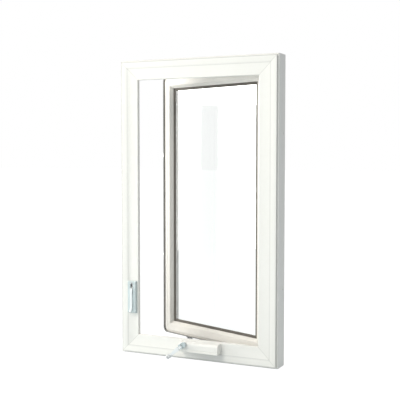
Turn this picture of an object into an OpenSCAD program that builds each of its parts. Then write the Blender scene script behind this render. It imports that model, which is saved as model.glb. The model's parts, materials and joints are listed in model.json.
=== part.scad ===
// Casement window: a mitred vinyl frame, a glazed sash that swings out on pivot hinges,
// a folding-crank operator on the sill and a lever lock with a tie bar on the jamb.
// Millimetres. X runs to the hinge side, Y to the weather side and Z up.
// The origin is on the bottom face of the frame, at the middle of its width and depth.

/* [Frame] */
// Overall width of the frame
frame_w = 610; // [520:1:760]
// Overall height of the frame
frame_h = 1067; // [880:1:1300]
// Depth of the frame, from the room face to the weather face
frame_d = 70; // [66:1:90]
// How far the room face stands in from the sides of the frame
shoulder_w = 5; // [2:0.5:7]
// Thickness of the room face at the shoulder
shoulder_d = 8; // [6:0.5:10]
// Width of the raised band round the room face
band_w = 26; // [20:1:27]
// Step from the raised band down to the inner band
band_step = 4; // [3:0.5:5]
// Width of the slope from the raised band down to the inner band
band_slope = 7; // [4:0.5:10]
// Width of the whole room face
face_w = 66; // [62:1:72]
// Thickness of the lip that the sash closes against
lip_t = 13; // [12:0.5:15]
// Width of the box section behind the lip
box_w = 32; // [30:1:33]
// Wall thickness of the frame section
frame_wall = 3; // [2:0.25:3.5]

/* [Sash] */
// Gap between the edge of the sash and the box section
sash_gap = 10; // [10:0.5:12]
// Gap between the lip and the face of the closed sash
face_gap = 3; // [2.5:0.25:4]
// Thickness of the sash
sash_d = 40; // [38:1:46]
// Width of the recessed flange round the sash
flange_w = 12; // [7:0.5:13]
// Depth of the recessed flange
flange_step = 5; // [3:0.5:6]
// Width of the sash rail up to the glazing pocket
rail_w = 35; // [32:1:40]
// Outer corner radius of the sash
corner_r = 20; // [12:1:24]
// Angle that the sash stands open
open_angle = 21; // [0:1:60]
// Greatest opening angle of the sash
open_max = 62; // [40:1:64]

/* [Glass] */
// Thickness of each pane
pane_t = 3; // [3:0.5:4]
// Air space between the panes
air_space = 12; // [8:1:13]
// Width of the glazing bead
bead_w = 11; // [9:0.5:16]
// How far the dark gasket shows past the bead
gasket_show = 10; // [2:0.5:12]

/* [Hinges] */
// Distance of the pivot from the edge of the sash
pivot_in = 6; // [5:0.5:7]
// Radius of the pivot pins
pivot_r = 4; // [3:0.5:4.5]
// Length of the hinge plates
plate_l = 50; // [44:1:70]
// Thickness of the hinge plates
plate_t = 2; // [1.5:0.25:2.5]

/* [Operator] */
// Distance of the crank spindle from the middle of the window
spindle_x = -37; // [-60:1:-20]
// Gear tooth module
gear_mod = 1.6; // [1.5:0.05:1.65]
// Teeth on the idler wheel
wheel_teeth = 15; // [14:1:15]
// Teeth on the full circle of the arm's sector
sector_teeth = 36; // [34:1:36]
// Thickness of the gears
gear_t = 4; // [3:0.5:4]
// Width of the operator arm
arm_w = 16; // [12:1:18]
// Thickness of the operator arm
arm_t = 3; // [2.5:0.25:3]
// Radius of the guide roller
roller_r = 6.3; // [5:0.1:6.5]
// Length of the operator cover
cover_l = 147; // [140:1:160]

/* [Crank] */
// Length of the crank from the fold pin to the knob
crank_l = 56; // [48:1:80]
// Direction of the crank, down from the room's left
crank_dir = 41; // [0:1:90]
// Radius of the crank hub
hub_r = 9; // [8:0.5:10]
// Radius of the knob
knob_r = 8; // [7:0.5:10]
// Length of the knob
knob_l = 20; // [16:1:26]

/* [Lock] */
// Height of the lever's pivot above the bottom of the frame
lever_z = 238; // [200:1:300]
// Length of the lock lever
lever_l = 82; // [70:1:95]
// Width of the lock escutcheon
escutcheon_w = 32; // [30:1:33]
// Height of the lock escutcheon
escutcheon_h = 117; // [105:1:125]
// Height of the lower keeper above the bottom of the sash
keeper_z = 300; // [280:1:340]
// Travel of the lever, in degrees
lever_travel = 105; // [80:1:106]

/* [Fit] */
// Radial clearance of a pin that turns in a bore
running_gap = 0.06; // [0.02:0.01:0.1]
// Clearance between pieces that slide or pass each other
slide_gap = 0.3; // [0.25:0.05:0.4]
// Radius of the installation screw holes
install_r = 2.75; // [2:0.25:3.5]

/* [Hidden] */
$fn = 48;

white = "ghostwhite";
trim_dark = "dimgray";
steel = "silver";
eps = 0.01;

// Frame section, measured in from the outside and back from the room face
face_in = shoulder_w + face_w;
band_in = shoulder_w + band_w;
lip_back = band_step + lip_t;
lip_chamfer = 2;
web_y = (lip_back + frame_d) / 2;

// Sash in the closed position
sash_edge = box_w + sash_gap;
sash_w = frame_w - 2 * sash_edge;
sash_h = frame_h - 2 * sash_edge;
sash_y = lip_back + face_gap;
rail_in = rail_w + bead_w;
bead_land = 2;
bead_drop = 10.6;
bead_t = 14;
gasket_t = 1;
tape_t = 1;
glass_y = bead_t + gasket_t;
glass_t = 2 * pane_t + air_space;
leg_y = glass_y + glass_t + tape_t;
glass_in = rail_w + 3;
spacer_in = glass_in + 4;
spacer_w = 6;
sash_wall = 3;
groove_d = 0.8;
seal_t = 4;
seal_tip = 0.8;

// Sash pivot, and the operator arm that turns twice as far as the sash
pivot_x = frame_w / 2 - sash_edge - pivot_in;
pivot_y = sash_y + 26;
wheel_r = gear_mod * wheel_teeth / 2;
sector_r = gear_mod * sector_teeth / 2;
gear_pitch = PI * gear_mod;
worm_r = 6.4;
worm_core = 6.2;
worm_lift = 1.2;
gear_z = box_w + 23;
wheel_x = spindle_x + worm_r + wheel_r;
arm_x = wheel_x + wheel_r + sector_r;
arm_y = pivot_y - 40;
arm_dx = pivot_x - arm_x;
arm_dy = pivot_y - arm_y;
arm_r = sqrt(arm_dx * arm_dx + arm_dy * arm_dy);
closed_lean = atan2(arm_dy, arm_dx);
arm_angle = 180 - closed_lean - 2 * open_angle;
sector_turn = -2 * open_angle;
wheel_turn = 180 / wheel_teeth - sector_turn * sector_teeth / wheel_teeth;
spindle_turn = (wheel_turn - 180 / wheel_teeth) * wheel_teeth;
arm_z = box_w + 2.3;
arm_hub_r = 9;
hub_lip = 0.5;
arm_pin_r = 4;

// Track for the guide roller, in the underside of the bottom rail
track_near = 2 * (arm_dx * cos(open_max) - arm_dy * sin(open_max)) - 18;
track_far = 2 * arm_dx + 16;
track_wall = 1.2;
track_h = 7.8;
track_slot = 7;
track_w = 2 * (roller_r + slide_gap + track_wall);
roller_z = sash_edge + slide_gap + track_wall + 0.2;
roller_h = 4.2;
roller_pin_r = 2.5;

// Operator housing and cover on the sill
base_x0 = spindle_x - 11;
base_x1 = arm_x + sector_r + 5;
base_front = arm_y - sector_r - 4.2;
base_back = lip_back - 1;
base_wall = 2;
base_z0 = box_w + 9;
base_z1 = gear_z + 9.6;
lid_t = 2;
ear_t = 2;
ear_l = 36;
ear_h = 15;
base_screw_x = [base_x1 + 9, base_x1 + 28];
brow_z = gear_z + 5;
brow_cut = 9;
cover_x0 = spindle_x - 13;
cover_front = base_front - 3;
cover_z0 = band_in + 2.3;
cover_z1 = base_z1 + lid_t + 2.6;
cover_wall = 2;
spindle_r = 4;
bush_r = 6.5;
screw_r = 1.8;
screw_head_r = 3.6;
screw_head_t = 1.8;

// Crank
hub_back = cover_front - 1;
hub_t = 10;
hub_tail = 9;
fork_l = 10;
fork_gap = 7;
fold_y = hub_back - hub_t - 5;
fold_pin_r = 1.6;
crank_t = 8;
crank_w = 14;
stud_r = 2.5;
cap_r = 3.2;

// Lock on the jamb opposite the hinges
lock_x = -(frame_w / 2 - band_in - 2 - escutcheon_w / 2);
escutcheon_t = 12;
escutcheon_wall = 1.8;
escutcheon_z0 = lever_z + 29 - escutcheon_h;
lever_y = 1;
lever_w = 8;
lever_hub_r = 6.5;
lever_pin_r = 2.5;
pinion_mod = 1.25;
pinion_teeth = 10;
pinion_r = pinion_mod * pinion_teeth / 2;
bar_x = -(frame_w / 2 - box_w) + slide_gap;
bar_t = 2.5;
bar_w = 12;
bar_y = lip_back + 4;
bar_z0 = 120;
bar_z1 = frame_h - 120;
slide_x0 = bar_x + bar_t + slide_gap;
slide_w = 5.2;
rack_top = 26;
slide_travel = pinion_r * lever_travel * PI / 180;
roller_lift = slide_travel;
cam_r = 4;
cam_l = 5;

function ring_points(r, a0, a1, n) = [
    for (i = [0:n])
        r * [cos(a0 + (a1 - a0) * i / n), sin(a0 + (a1 - a0) * i / n)]
];

// The fixed frame, moved so that the origin is at mid-depth
module in_frame() {
    translate([0, -frame_d / 2, 0])
        children();
}

// A piece of the sash, drawn in the closed position and swung open
module in_sash() {
    in_frame()
        translate([pivot_x, pivot_y, 0])
            rotate([0, 0, -open_angle])
                translate([-pivot_x, -pivot_y, 0])
                    children();
}

// Mirrors the children about mid-height of the frame
module at_top() {
    translate([0, 0, frame_h])
        mirror([0, 0, 1])
            children();
}

// An outline of depth and inward distance, run along X with both ends mitred
module mitred_bar(length, reach, depth) {
    intersection() {
        translate([-length / 2, 0, 0])
            rotate([90, 0, 90])
                linear_extrude(height = length)
                    children();
        translate([0, depth + 1, 0])
            rotate([90, 0, 0])
                linear_extrude(height = depth + 30)
                    polygon([
                        [-length / 2, 0], [length / 2, 0],
                        [length / 2 - reach, reach], [-length / 2 + reach, reach]
                    ]);
    }
}

// Stands a bar up on the hinge side of an opening of the given size
module upright(width, height) {
    translate([width / 2, 0, height / 2])
        rotate([0, -90, 0])
            children();
}

module frame_outline() {
    difference() {
        polygon([
            [0, shoulder_w], [0, band_in + 2 - band_slope], [band_step, band_in + 2],
            [band_step, face_in - lip_chamfer], [band_step + lip_chamfer, face_in],
            [lip_back, face_in], [lip_back, box_w], [frame_d, box_w],
            [frame_d, 0], [shoulder_d, 0], [shoulder_d, shoulder_w]
        ]);
        translate([shoulder_d + frame_wall, frame_wall])
            square([web_y - shoulder_d - 1.5 * frame_wall, box_w - 2 * frame_wall]);
        translate([web_y + frame_wall / 2, frame_wall])
            square([frame_d - web_y - 1.5 * frame_wall, box_w - 2 * frame_wall]);
        translate([band_step + frame_wall, box_w + frame_wall])
            square([lip_t - 2 * frame_wall, face_in - box_w - 2 * frame_wall]);
    }
}

module frame_bar(length) {
    mitred_bar(length, face_in, frame_d)
        frame_outline();
}

// Holes for the installation screws through a jamb
module install_holes() {
    for (side = [-1, 1])
        translate([frame_w / 2 + 1, frame_d - 16, frame_h / 2 + side * frame_h / 4])
            rotate([0, -90, 0])
                cylinder(r = install_r, h = box_w + 2);
}

// Pilot holes for the screws of one hinge plate
module hinge_pilots() {
    for (x = hinge_screw_x)
        translate([x, pivot_y, box_w - 9])
            cylinder(r = screw_r + running_gap, h = 10);
}
hinge_screw_x = [pivot_x - plate_l + 14, pivot_x - plate_l + 30];

module sill() {
    color(white)
        in_frame()
            difference() {
                frame_bar(frame_w);
                translate([base_x0 - 1, -1, box_w])
                    cube([base_x1 - base_x0 + 2, lip_back + 1 + eps, base_z1 + lid_t - box_w + 1]);
                translate([arm_x - 115, band_step + 4, box_w])
                    cube([125, lip_t, arm_z + arm_t + 2 - box_w]);
                hinge_pilots();
                operator_pilots();
                for (side = [-1, 1])
                    translate([side * frame_w / 4 - 12, frame_d - frame_wall - 1, box_w / 2 - 3])
                        cube([24, frame_wall + 2, 6]);
            }
}

module head() {
    color(white)
        in_frame()
            at_top()
                difference() {
                    frame_bar(frame_w);
                    hinge_pilots();
                }
}

module hinge_jamb() {
    color(white)
        in_frame()
            difference() {
                upright(frame_w, frame_h)
                    frame_bar(frame_h);
                install_holes();
            }
}

module lock_jamb() {
    color(white)
        in_frame()
            difference() {
                mirror([1, 0, 0])
                    upright(frame_w, frame_h)
                        frame_bar(frame_h);
                mirror([1, 0, 0])
                    install_holes();
                translate([bar_x - slide_gap, -1, lever_z - 20])
                    cube([escutcheon_w - 5, lip_back + 1 + eps, 34]);
                translate([bar_x - slide_gap, band_step + 2, lever_z - 24 - slide_travel])
                    cube([slide_w + bar_t + 2, lip_t, 62 + slide_travel]);
                lock_pilots();
                guide_pilots();
            }
}

// A rectangular ring of flat strip: outer size, strip width and thickness, at a depth
module strip_ring(width, height, inset, strip, y0, thick) {
    translate([0, y0 + thick, height / 2])
        rotate([90, 0, 0])
            linear_extrude(height = thick)
                difference() {
                    square([width - 2 * inset, height - 2 * inset], center = true);
                    square([width - 2 * (inset + strip), height - 2 * (inset + strip)], center = true);
                }
}

module frame_seal() {
    color(trim_dark)
        in_frame()
            difference() {
                strip_ring(frame_w, frame_h, face_in - 9, 6, lip_back, face_gap - slide_gap);
                translate([arm_x - 130, 0, 0])
                    cube([190, frame_d, base_z1 + lid_t + 6]);
            }
}

module weep_covers() {
    color(white)
        in_frame()
            for (side = [-1, 1])
                translate([side * frame_w / 4 - 20, frame_d, box_w / 2 - 7])
                    difference() {
                        cube([40, 2.5, 14]);
                        translate([2, -eps, -1])
                            cube([36, 1.5, 12]);
                    }
}

module sash_outline() {
    difference() {
        polygon([
            [flange_step, 0], [flange_step, flange_w], [0, flange_w], [0, rail_w],
            [leg_y, rail_w], [leg_y, rail_in], [sash_d - 2, rail_in], [sash_d, rail_in - 2],
            [sash_d, 0]
        ]);
        translate([sash_wall, flange_w + sash_wall])
            square([sash_d / 2 - 1.5 * sash_wall, rail_w - flange_w - 2 * sash_wall]);
        translate([sash_d / 2 + sash_wall / 2, flange_w + sash_wall])
            square([sash_d / 2 - 1.5 * sash_wall, rail_w - flange_w - 2 * sash_wall]);
        translate([-eps, flange_w + 11])
            square([groove_d, 1.2]);
    }
}

// A rectangle with round corners, made of exact arcs
module rounded_rect(width, height, radius) {
    difference() {
        square([width, height], center = true);
        for (x = [-1, 1], z = [-1, 1])
            translate([x * width / 2, z * height / 2])
                mirror([x > 0 ? 1 : 0, 0])
                    mirror([0, z > 0 ? 1 : 0])
                        difference() {
                            translate([-1, -1])
                                square(radius + 1);
                            translate([radius, radius])
                                circle(r = radius);
                        }
    }
}

// A rounded plate of the sash's outline, set in by an inset, between two depths
module sash_plate(inset, y0, y1) {
    translate([0, y1, sash_h / 2])
        rotate([90, 0, 0])
            linear_extrude(height = y1 - y0)
                rounded_rect(sash_w - 2 * inset, sash_h - 2 * inset, corner_r - inset);
}

// Rounds the outer corners of a sash bar and of its recessed flange
module in_sash_outline() {
    intersection() {
        children();
        union() {
            sash_plate(0, flange_step, sash_d);
            sash_plate(flange_w, 0, flange_step + 1);
        }
    }
}

module sash_bar(length) {
    mitred_bar(length, rail_in, sash_d)
        sash_outline();
}

// The sash's own origin is the middle of its lower edge, on its room face
module at_sash() {
    in_sash()
        translate([0, sash_y, sash_edge])
            children();
}

module sash_plate_pilots() {
    for (x = hinge_screw_x)
        translate([x, pivot_y - sash_y, -1])
            cylinder(r = screw_r + running_gap, h = 11);
}

track_screw_at = [track_near + 8, (track_near + track_far) / 2 + 6, track_far - 5];

module track_groove() {
    translate([pivot_x - track_far - 1, pivot_y - sash_y - track_w / 2 - 0.2, -1])
        cube([track_far - track_near + 2, track_w + 0.4, 1 + slide_gap + track_h]);
    for (at = track_screw_at)
        translate([pivot_x - at, pivot_y - sash_y, 0])
            cylinder(r = screw_r + running_gap, h = track_h + 3);
}

module sash_bottom_rail() {
    color(white)
        at_sash()
            difference() {
                in_sash_outline()
                    sash_bar(sash_w);
                sash_plate_pilots();
                track_groove();
            }
}

module sash_top_rail() {
    color(white)
        at_sash()
            translate([0, 0, sash_h])
                mirror([0, 0, 1])
                    difference() {
                        in_sash_outline()
                            sash_bar(sash_w);
                        sash_plate_pilots();
                    }
}

module sash_hinge_stile() {
    color(white)
        at_sash()
            in_sash_outline()
                upright(sash_w, sash_h)
                    sash_bar(sash_h);
}

module sash_lock_stile() {
    color(white)
        at_sash()
            difference() {
                in_sash_outline()
                    mirror([1, 0, 0])
                        upright(sash_w, sash_h)
                            sash_bar(sash_h);
                keeper_pilots();
            }
}

module sash_seal() {
    color(trim_dark)
        at_sash()
            difference() {
                sash_plate(slide_gap, seal_tip - face_gap, flange_step);
                sash_plate(slide_gap + seal_t, -face_gap - 1, flange_step + 1);
            }
}

// One glazing bead, with a sloped face and mitred ends
module bead_bar(width) {
    translate([0, 0, rail_w])
        mitred_bar(width - 2 * rail_w, bead_w, bead_t)
            polygon([[0, 0], [0, bead_land], [bead_drop, bead_w], [bead_t, bead_w], [bead_t, 0]]);
}

module bead_bottom() {
    color(white)
        at_sash()
            bead_bar(sash_w);
}

module bead_top() {
    color(white)
        at_sash()
            translate([0, 0, sash_h])
                mirror([0, 0, 1])
                    bead_bar(sash_w);
}

module bead_hinge_side() {
    color(white)
        at_sash()
            upright(sash_w, sash_h)
                bead_bar(sash_h);
}

module bead_lock_side() {
    color(white)
        at_sash()
            mirror([1, 0, 0])
                upright(sash_w, sash_h)
                    bead_bar(sash_h);
}

// Dark gasket between the beads and the inner pane
module glazing_gasket() {
    color(trim_dark)
        at_sash()
            strip_ring(sash_w, sash_h, glass_in, rail_in - glass_in + gasket_show, bead_t, gasket_t);
}

// Tape between the outer pane and the fixed glazing leg
module glazing_tape() {
    color(trim_dark)
        at_sash()
            strip_ring(sash_w, sash_h, glass_in, rail_in - glass_in - 1, leg_y - tape_t, tape_t);
}

module pane(y0) {
    color("azure", 0.3)
        at_sash()
            translate([glass_in - sash_w / 2, y0, glass_in])
                cube([sash_w - 2 * glass_in, pane_t, sash_h - 2 * glass_in]);
}

module inner_pane() {
    pane(glass_y);
}

module outer_pane() {
    pane(glass_y + pane_t + air_space);
}

// Hollow metal bar that holds the two panes apart
module glass_spacer() {
    color(steel)
        at_sash()
            strip_ring(sash_w, sash_h, spacer_in, spacer_w, glass_y + pane_t, air_space);
}

// Two rubber blocks that carry the glass on the bottom rail
module setting_blocks() {
    color(trim_dark)
        at_sash()
            for (side = [-1, 1])
                translate([side * sash_w / 4 - 40, glass_y, rail_w])
                    cube([80, glass_t, glass_in - rail_w]);
}

// Pan-head screw with a cross recess, its head seated on z = 0 and its shank below
module screw(length) {
    difference() {
        union() {
            cylinder(r = screw_head_r, h = screw_head_t * 0.6);
            translate([0, 0, screw_head_t * 0.6])
                cylinder(r1 = screw_head_r, r2 = screw_head_r * 0.7, h = screw_head_t * 0.4);
            translate([0, 0, -length])
                cylinder(r = screw_r, h = length + 0.1);
        }
        for (turn = [0, 90])
            rotate([0, 0, turn])
                translate([-screw_head_r * 0.6, -0.4, screw_head_t * 0.45])
                    cube([screw_head_r * 1.2, 0.8, screw_head_t]);
    }
}

// Frame side of a pivot hinge: a plate on the box section with a fixed pin
module hinge_plate() {
    translate([0, 0, box_w])
        difference() {
            union() {
                translate([pivot_x - plate_l + 6, pivot_y - 9, 0])
                    cube([plate_l - 6, 18, plate_t]);
                translate([pivot_x, pivot_y, 0])
                    cylinder(r = 9, h = plate_t);
                translate([pivot_x, pivot_y, 0])
                    cylinder(r = pivot_r, h = sash_gap + 0.4);
            }
            for (x = hinge_screw_x)
                translate([x, pivot_y, -1])
                    cylinder(r = screw_r + running_gap, h = plate_t + 2);
        }
}

module hinge_plate_lower() {
    color(steel)
        in_frame()
            hinge_plate();
}

module hinge_plate_upper() {
    color(steel)
        in_frame()
            at_top()
                hinge_plate();
}

// Washers that carry the sash plates on the frame plates
module hinge_washers() {
    color("gainsboro")
        in_frame()
            for (top = [0, 1])
                translate([pivot_x, pivot_y, top * frame_h])
                    mirror([0, 0, top])
                        translate([0, 0, box_w + plate_t])
                            difference() {
                                cylinder(r = 7.5, h = sash_gap - 2 * plate_t - 0.05);
                                translate([0, 0, -1])
                                    cylinder(r = pivot_r + running_gap, h = sash_gap);
                            }
}

// Sash side of a pivot hinge: a plate under the rail with an ear round the pin
module pivot_ear() {
    translate([0, 0, -plate_t])
        difference() {
            union() {
                translate([pivot_x - plate_l + 6, pivot_y - sash_y - 9, 0])
                    cube([plate_l - 6, 18, plate_t]);
                translate([pivot_x, pivot_y - sash_y, 0])
                    cylinder(r = 8, h = plate_t);
            }
            translate([pivot_x, pivot_y - sash_y, -1])
                cylinder(r = pivot_r + running_gap, h = plate_t + 2);
            for (x = hinge_screw_x)
                translate([x, pivot_y - sash_y, -1])
                    cylinder(r = screw_r + running_gap, h = plate_t + 2);
        }
}

module sash_plate_lower() {
    color(steel)
        at_sash()
            pivot_ear();
}

module sash_plate_upper() {
    color(steel)
        at_sash()
            translate([0, 0, sash_h])
                mirror([0, 0, 1])
                    pivot_ear();
}

module hinge_screws() {
    color(steel)
        in_frame()
            for (top = [0, 1], x = hinge_screw_x)
                translate([x, pivot_y, top * frame_h])
                    mirror([0, 0, top])
                        translate([0, 0, box_w + plate_t])
                            screw(plate_t + 8);
}

module sash_plate_screws() {
    color(steel)
        at_sash()
            for (top = [0, 1], x = hinge_screw_x)
                translate([x, pivot_y - sash_y, top * sash_h])
                    mirror([0, 0, top])
                        translate([0, 0, -plate_t])
                            mirror([0, 0, 1])
                                screw(plate_t + 8);
}

// Steel channel in the bottom rail, open below through a slot for the roller's pin
module sash_track() {
    color(steel)
        at_sash()
            translate([pivot_x - track_far, pivot_y - sash_y, 0])
                difference() {
                    translate([0, -track_w / 2, slide_gap])
                        cube([track_far - track_near, track_w, track_h]);
                    translate([track_wall, track_wall - track_w / 2, slide_gap + track_wall])
                        cube([
                            track_far - track_near - 2 * track_wall,
                            track_w - 2 * track_wall,
                            track_h - 2 * track_wall
                        ]);
                    translate([track_wall, -track_slot / 2, -1])
                        cube([
                            track_far - track_near - 2 * track_wall,
                            track_slot,
                            slide_gap + track_wall + 2
                        ]);
                    for (at = track_screw_at)
                        translate([track_far - at, 0, track_h - track_wall])
                            cylinder(r = screw_r + running_gap, h = track_wall + 2);
                    for (at = track_screw_at)
                        translate([track_far - at, 0, -1])
                            cylinder(r = screw_head_r + slide_gap, h = slide_gap + track_wall + 2);
                }
}

// Low screws in the track's roof, clear of the roller
module track_screws() {
    color(steel)
        at_sash()
            for (at = track_screw_at)
                translate([pivot_x - at, pivot_y - sash_y, track_h + slide_gap - track_wall]) {
                    cylinder(r = screw_r, h = track_wall + 2.5);
                    translate([0, 0, -0.8])
                        cylinder(r = screw_head_r - 0.6, h = 0.8);
                }
}

// A gear outline with straight-sided teeth; one tooth is centred on +X
module gear_outline(teeth, radius) {
    tip = radius + 0.62 * gear_mod;
    root = radius - 0.94 * gear_mod;
    step = 360 / teeth;
    polygon([
        for (k = [0:teeth - 1], p = [[-0.33, root], [-0.08, tip], [0.08, tip], [0.33, root]])
            [p[1] * cos(step * (k + p[0])), p[1] * sin(step * (k + p[0]))]
    ]);
}

// Housing of the operator: a tray with walls, bosses for the pins and a bearing lug
module operator_base() {
    color(steel)
        in_frame()
            difference() {
                union() {
                    difference() {
                        translate([base_x0, base_front, base_z0])
                            cube([base_x1 - base_x0, base_back - base_front, base_z1 - base_z0]);
                        translate([base_x0 + base_wall, base_front + base_wall, base_z0 + base_wall])
                            cube([base_x1 - base_x0 - 2 * base_wall, base_back - base_front, base_z1]);
                    }
                    translate([spindle_x - 8.5, base_back - 3, base_z0 + base_wall - eps])
                        cube([14, 3, base_z1 - base_z0 - base_wall]);
                    translate([wheel_x, arm_y, base_z0 + base_wall - eps])
                        cylinder(r = 6, h = gear_z - gear_t / 2 - base_z0 - base_wall - slide_gap);
                    translate([base_x1 - eps, band_step - ear_t, base_z0])
                        cube([ear_l, ear_t, ear_h]);
                }
                translate([base_x0 - 1, base_front - 1, brow_z])
                    cube([base_x1 - base_x0 + 2, brow_cut + 1, base_z1]);
                translate([spindle_x, base_front - 1, gear_z])
                    rotate([-90, 0, 0])
                        cylinder(r = bush_r, h = base_wall + 2);
                translate([spindle_x, base_back - 4, gear_z])
                    rotate([-90, 0, 0])
                        cylinder(r = spindle_r + running_gap, h = 6);
                translate([wheel_x, arm_y, base_z0 - 1])
                    cylinder(r = 2.5, h = 20);
                translate([arm_x, arm_y, base_z0 - 1])
                    cylinder(r = arm_hub_r + slide_gap, h = base_wall + 2);
                for (x = base_screw_x)
                    translate([x, band_step + 1, base_z0 + ear_h / 2])
                        rotate([90, 0, 0])
                            cylinder(r = screw_r + running_gap, h = ear_t + 2);
            }
}

module operator_pilots() {
    for (x = base_screw_x)
        translate([x, band_step - 1, base_z0 + ear_h / 2])
            rotate([-90, 0, 0])
                cylinder(r = screw_r + running_gap, h = 9);
}

module operator_lid() {
    color(steel)
        in_frame()
            difference() {
                translate([base_x0, base_front + brow_cut, base_z1])
                    cube([base_x1 - base_x0, base_back - base_front - brow_cut, lid_t]);
                translate([wheel_x, arm_y, base_z1 - 1])
                    cylinder(r = 2.5, h = lid_t + 2);
                translate([arm_x, arm_y, base_z1 - 1])
                    cylinder(r = arm_pin_r, h = lid_t + 2);
            }
}

module operator_screws() {
    color(steel)
        in_frame()
            for (x = base_screw_x)
                translate([x, band_step - ear_t, base_z0 + ear_h / 2])
                    rotate([90, 0, 0])
                        screw(9);
}

// Outline of the cover across the window: depth and height, with a round brow
module cover_outline(inset) {
    brow_r = 12 - inset;
    front = cover_front + inset;
    top = cover_z1 - inset;
    polygon(concat(
        [[band_step, cover_z0 - (inset > 0 ? 1 : 0)], [front, cover_z0 - (inset > 0 ? 1 : 0)]],
        [for (p = ring_points(brow_r, 180, 90, 8)) [front + brow_r + p[0], top - brow_r + p[1]]],
        [[band_step, top]]
    ));
}

module operator_cover() {
    color(white)
        in_frame()
            difference() {
                translate([cover_x0, 0, 0])
                    rotate([90, 0, 90])
                        linear_extrude(height = cover_l)
                            cover_outline(0);
                translate([cover_x0 + cover_wall, 0.01, 0])
                    rotate([90, 0, 90])
                        linear_extrude(height = cover_l - 2 * cover_wall)
                            cover_outline(cover_wall);
                translate([spindle_x, cover_front - 1, gear_z])
                    rotate([-90, 0, 0])
                        cylinder(r = spindle_r + 1.5, h = cover_wall + 12);
            }
}

module spindle_bush() {
    color("tan")
        in_frame()
            translate([spindle_x, base_front + base_wall, gear_z])
                rotate([90, 0, 0])
                    difference() {
                        union() {
                            cylinder(r = bush_r, h = base_wall);
                            translate([0, 0, -1.5])
                                cylinder(r = bush_r + 1.5, h = 1.5);
                        }
                        translate([0, 0, -3])
                            cylinder(r = spindle_r + running_gap, h = 8);
                    }
}

// Spindle along the depth, with a rounded worm thread round its middle
module worm_spindle() {
    worm_y0 = arm_y - 8;
    worm_y1 = arm_y + 6.4;
    color(steel)
        in_frame()
            translate([spindle_x, 0, gear_z])
                rotate([-90, 0, 0]) {
                    translate([0, 0, hub_back - hub_t + 0.5])
                        cylinder(r = spindle_r, h = worm_y0 - hub_back + hub_t - 0.5);
                    translate([0, 0, worm_y0])
                        rotate([0, 0, spindle_turn + worm_phase])
                            linear_extrude(
                                height = worm_y1 - worm_y0,
                                twist = -360 * (worm_y1 - worm_y0) / gear_pitch,
                                slices = 60, $fn = 16
                            )
                                translate([worm_lift, 0])
                                    circle(r = worm_core, $fn = 16);
                    translate([0, 0, worm_y1])
                        cylinder(r = spindle_r, h = base_back - worm_y1);
                }
}
worm_phase = 180 - 360 * (8 - floor(8 / gear_pitch) * gear_pitch) / gear_pitch;

module worm_wheel() {
    color("goldenrod")
        in_frame()
            translate([wheel_x, arm_y, gear_z - gear_t / 2])
                difference() {
                    rotate([0, 0, wheel_turn])
                        linear_extrude(height = gear_t)
                            gear_outline(wheel_teeth, wheel_r);
                    translate([0, 0, -1])
                        cylinder(r = 2.5 + running_gap, h = gear_t + 2);
                }
}

module wheel_pin() {
    color(steel)
        in_frame()
            translate([wheel_x, arm_y, base_z0])
                cylinder(r = 2.5, h = base_z1 + lid_t - base_z0);
}

// Arm and its gear sector on one hub; the hub turns on the arm pin
module operator_arm() {
    color(steel)
        in_frame()
            translate([arm_x, arm_y, 0])
                difference() {
                    union() {
                        translate([0, 0, arm_z])
                            cylinder(r = arm_hub_r, h = gear_z + gear_t / 2 + hub_lip - arm_z);
                        translate([0, 0, gear_z - gear_t / 2])
                            intersection() {
                                rotate([0, 0, sector_turn])
                                    linear_extrude(height = gear_t)
                                        gear_outline(sector_teeth, sector_r);
                                rotate([0, 0, arm_angle])
                                    linear_extrude(height = gear_t)
                                        polygon(concat(
                                            [[0, 0]],
                                            ring_points(
                                                sector_r + 8,
                                                closed_lean - 16,
                                                closed_lean + 2 * open_max + 16,
                                                8
                                            )
                                        ));
                            }
                        rotate([0, 0, arm_angle]) {
                            translate([0, -arm_w / 2, arm_z])
                                cube([arm_r, arm_w, arm_t]);
                            translate([arm_r, 0, arm_z])
                                cylinder(r = arm_w / 2, h = arm_t);
                            translate([arm_r, 0, arm_z])
                                cylinder(r = roller_pin_r, h = roller_z + roller_h - arm_z - 0.2);
                        }
                    }
                    translate([0, 0, arm_z - 1])
                        cylinder(r = arm_pin_r + running_gap, h = gear_z + gear_t - arm_z + 2);
                }
}

module arm_pin() {
    color(steel)
        in_frame()
            translate([arm_x, arm_y, box_w + 0.6])
                union() {
                    cylinder(r = arm_hub_r - 1, h = arm_z - box_w - 0.65);
                    cylinder(r = arm_pin_r, h = base_z1 + lid_t - box_w - 0.6);
                }
}

module guide_roller() {
    color("whitesmoke")
        in_frame()
            translate([arm_x, arm_y, 0])
                rotate([0, 0, arm_angle])
                    translate([arm_r, 0, roller_z])
                        difference() {
                            cylinder(r = roller_r, h = roller_h);
                            translate([0, 0, -1])
                                cylinder(r = roller_pin_r + running_gap, h = roller_h + 2);
                        }
}

// Places a crank piece: x along the crank from the hub, z out of the window's face
module at_crank() {
    in_frame()
        translate([spindle_x, 0, gear_z])
            rotate([90, 0, 0])
                rotate([0, 0, 180 + crank_dir])
                    children();
}

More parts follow.
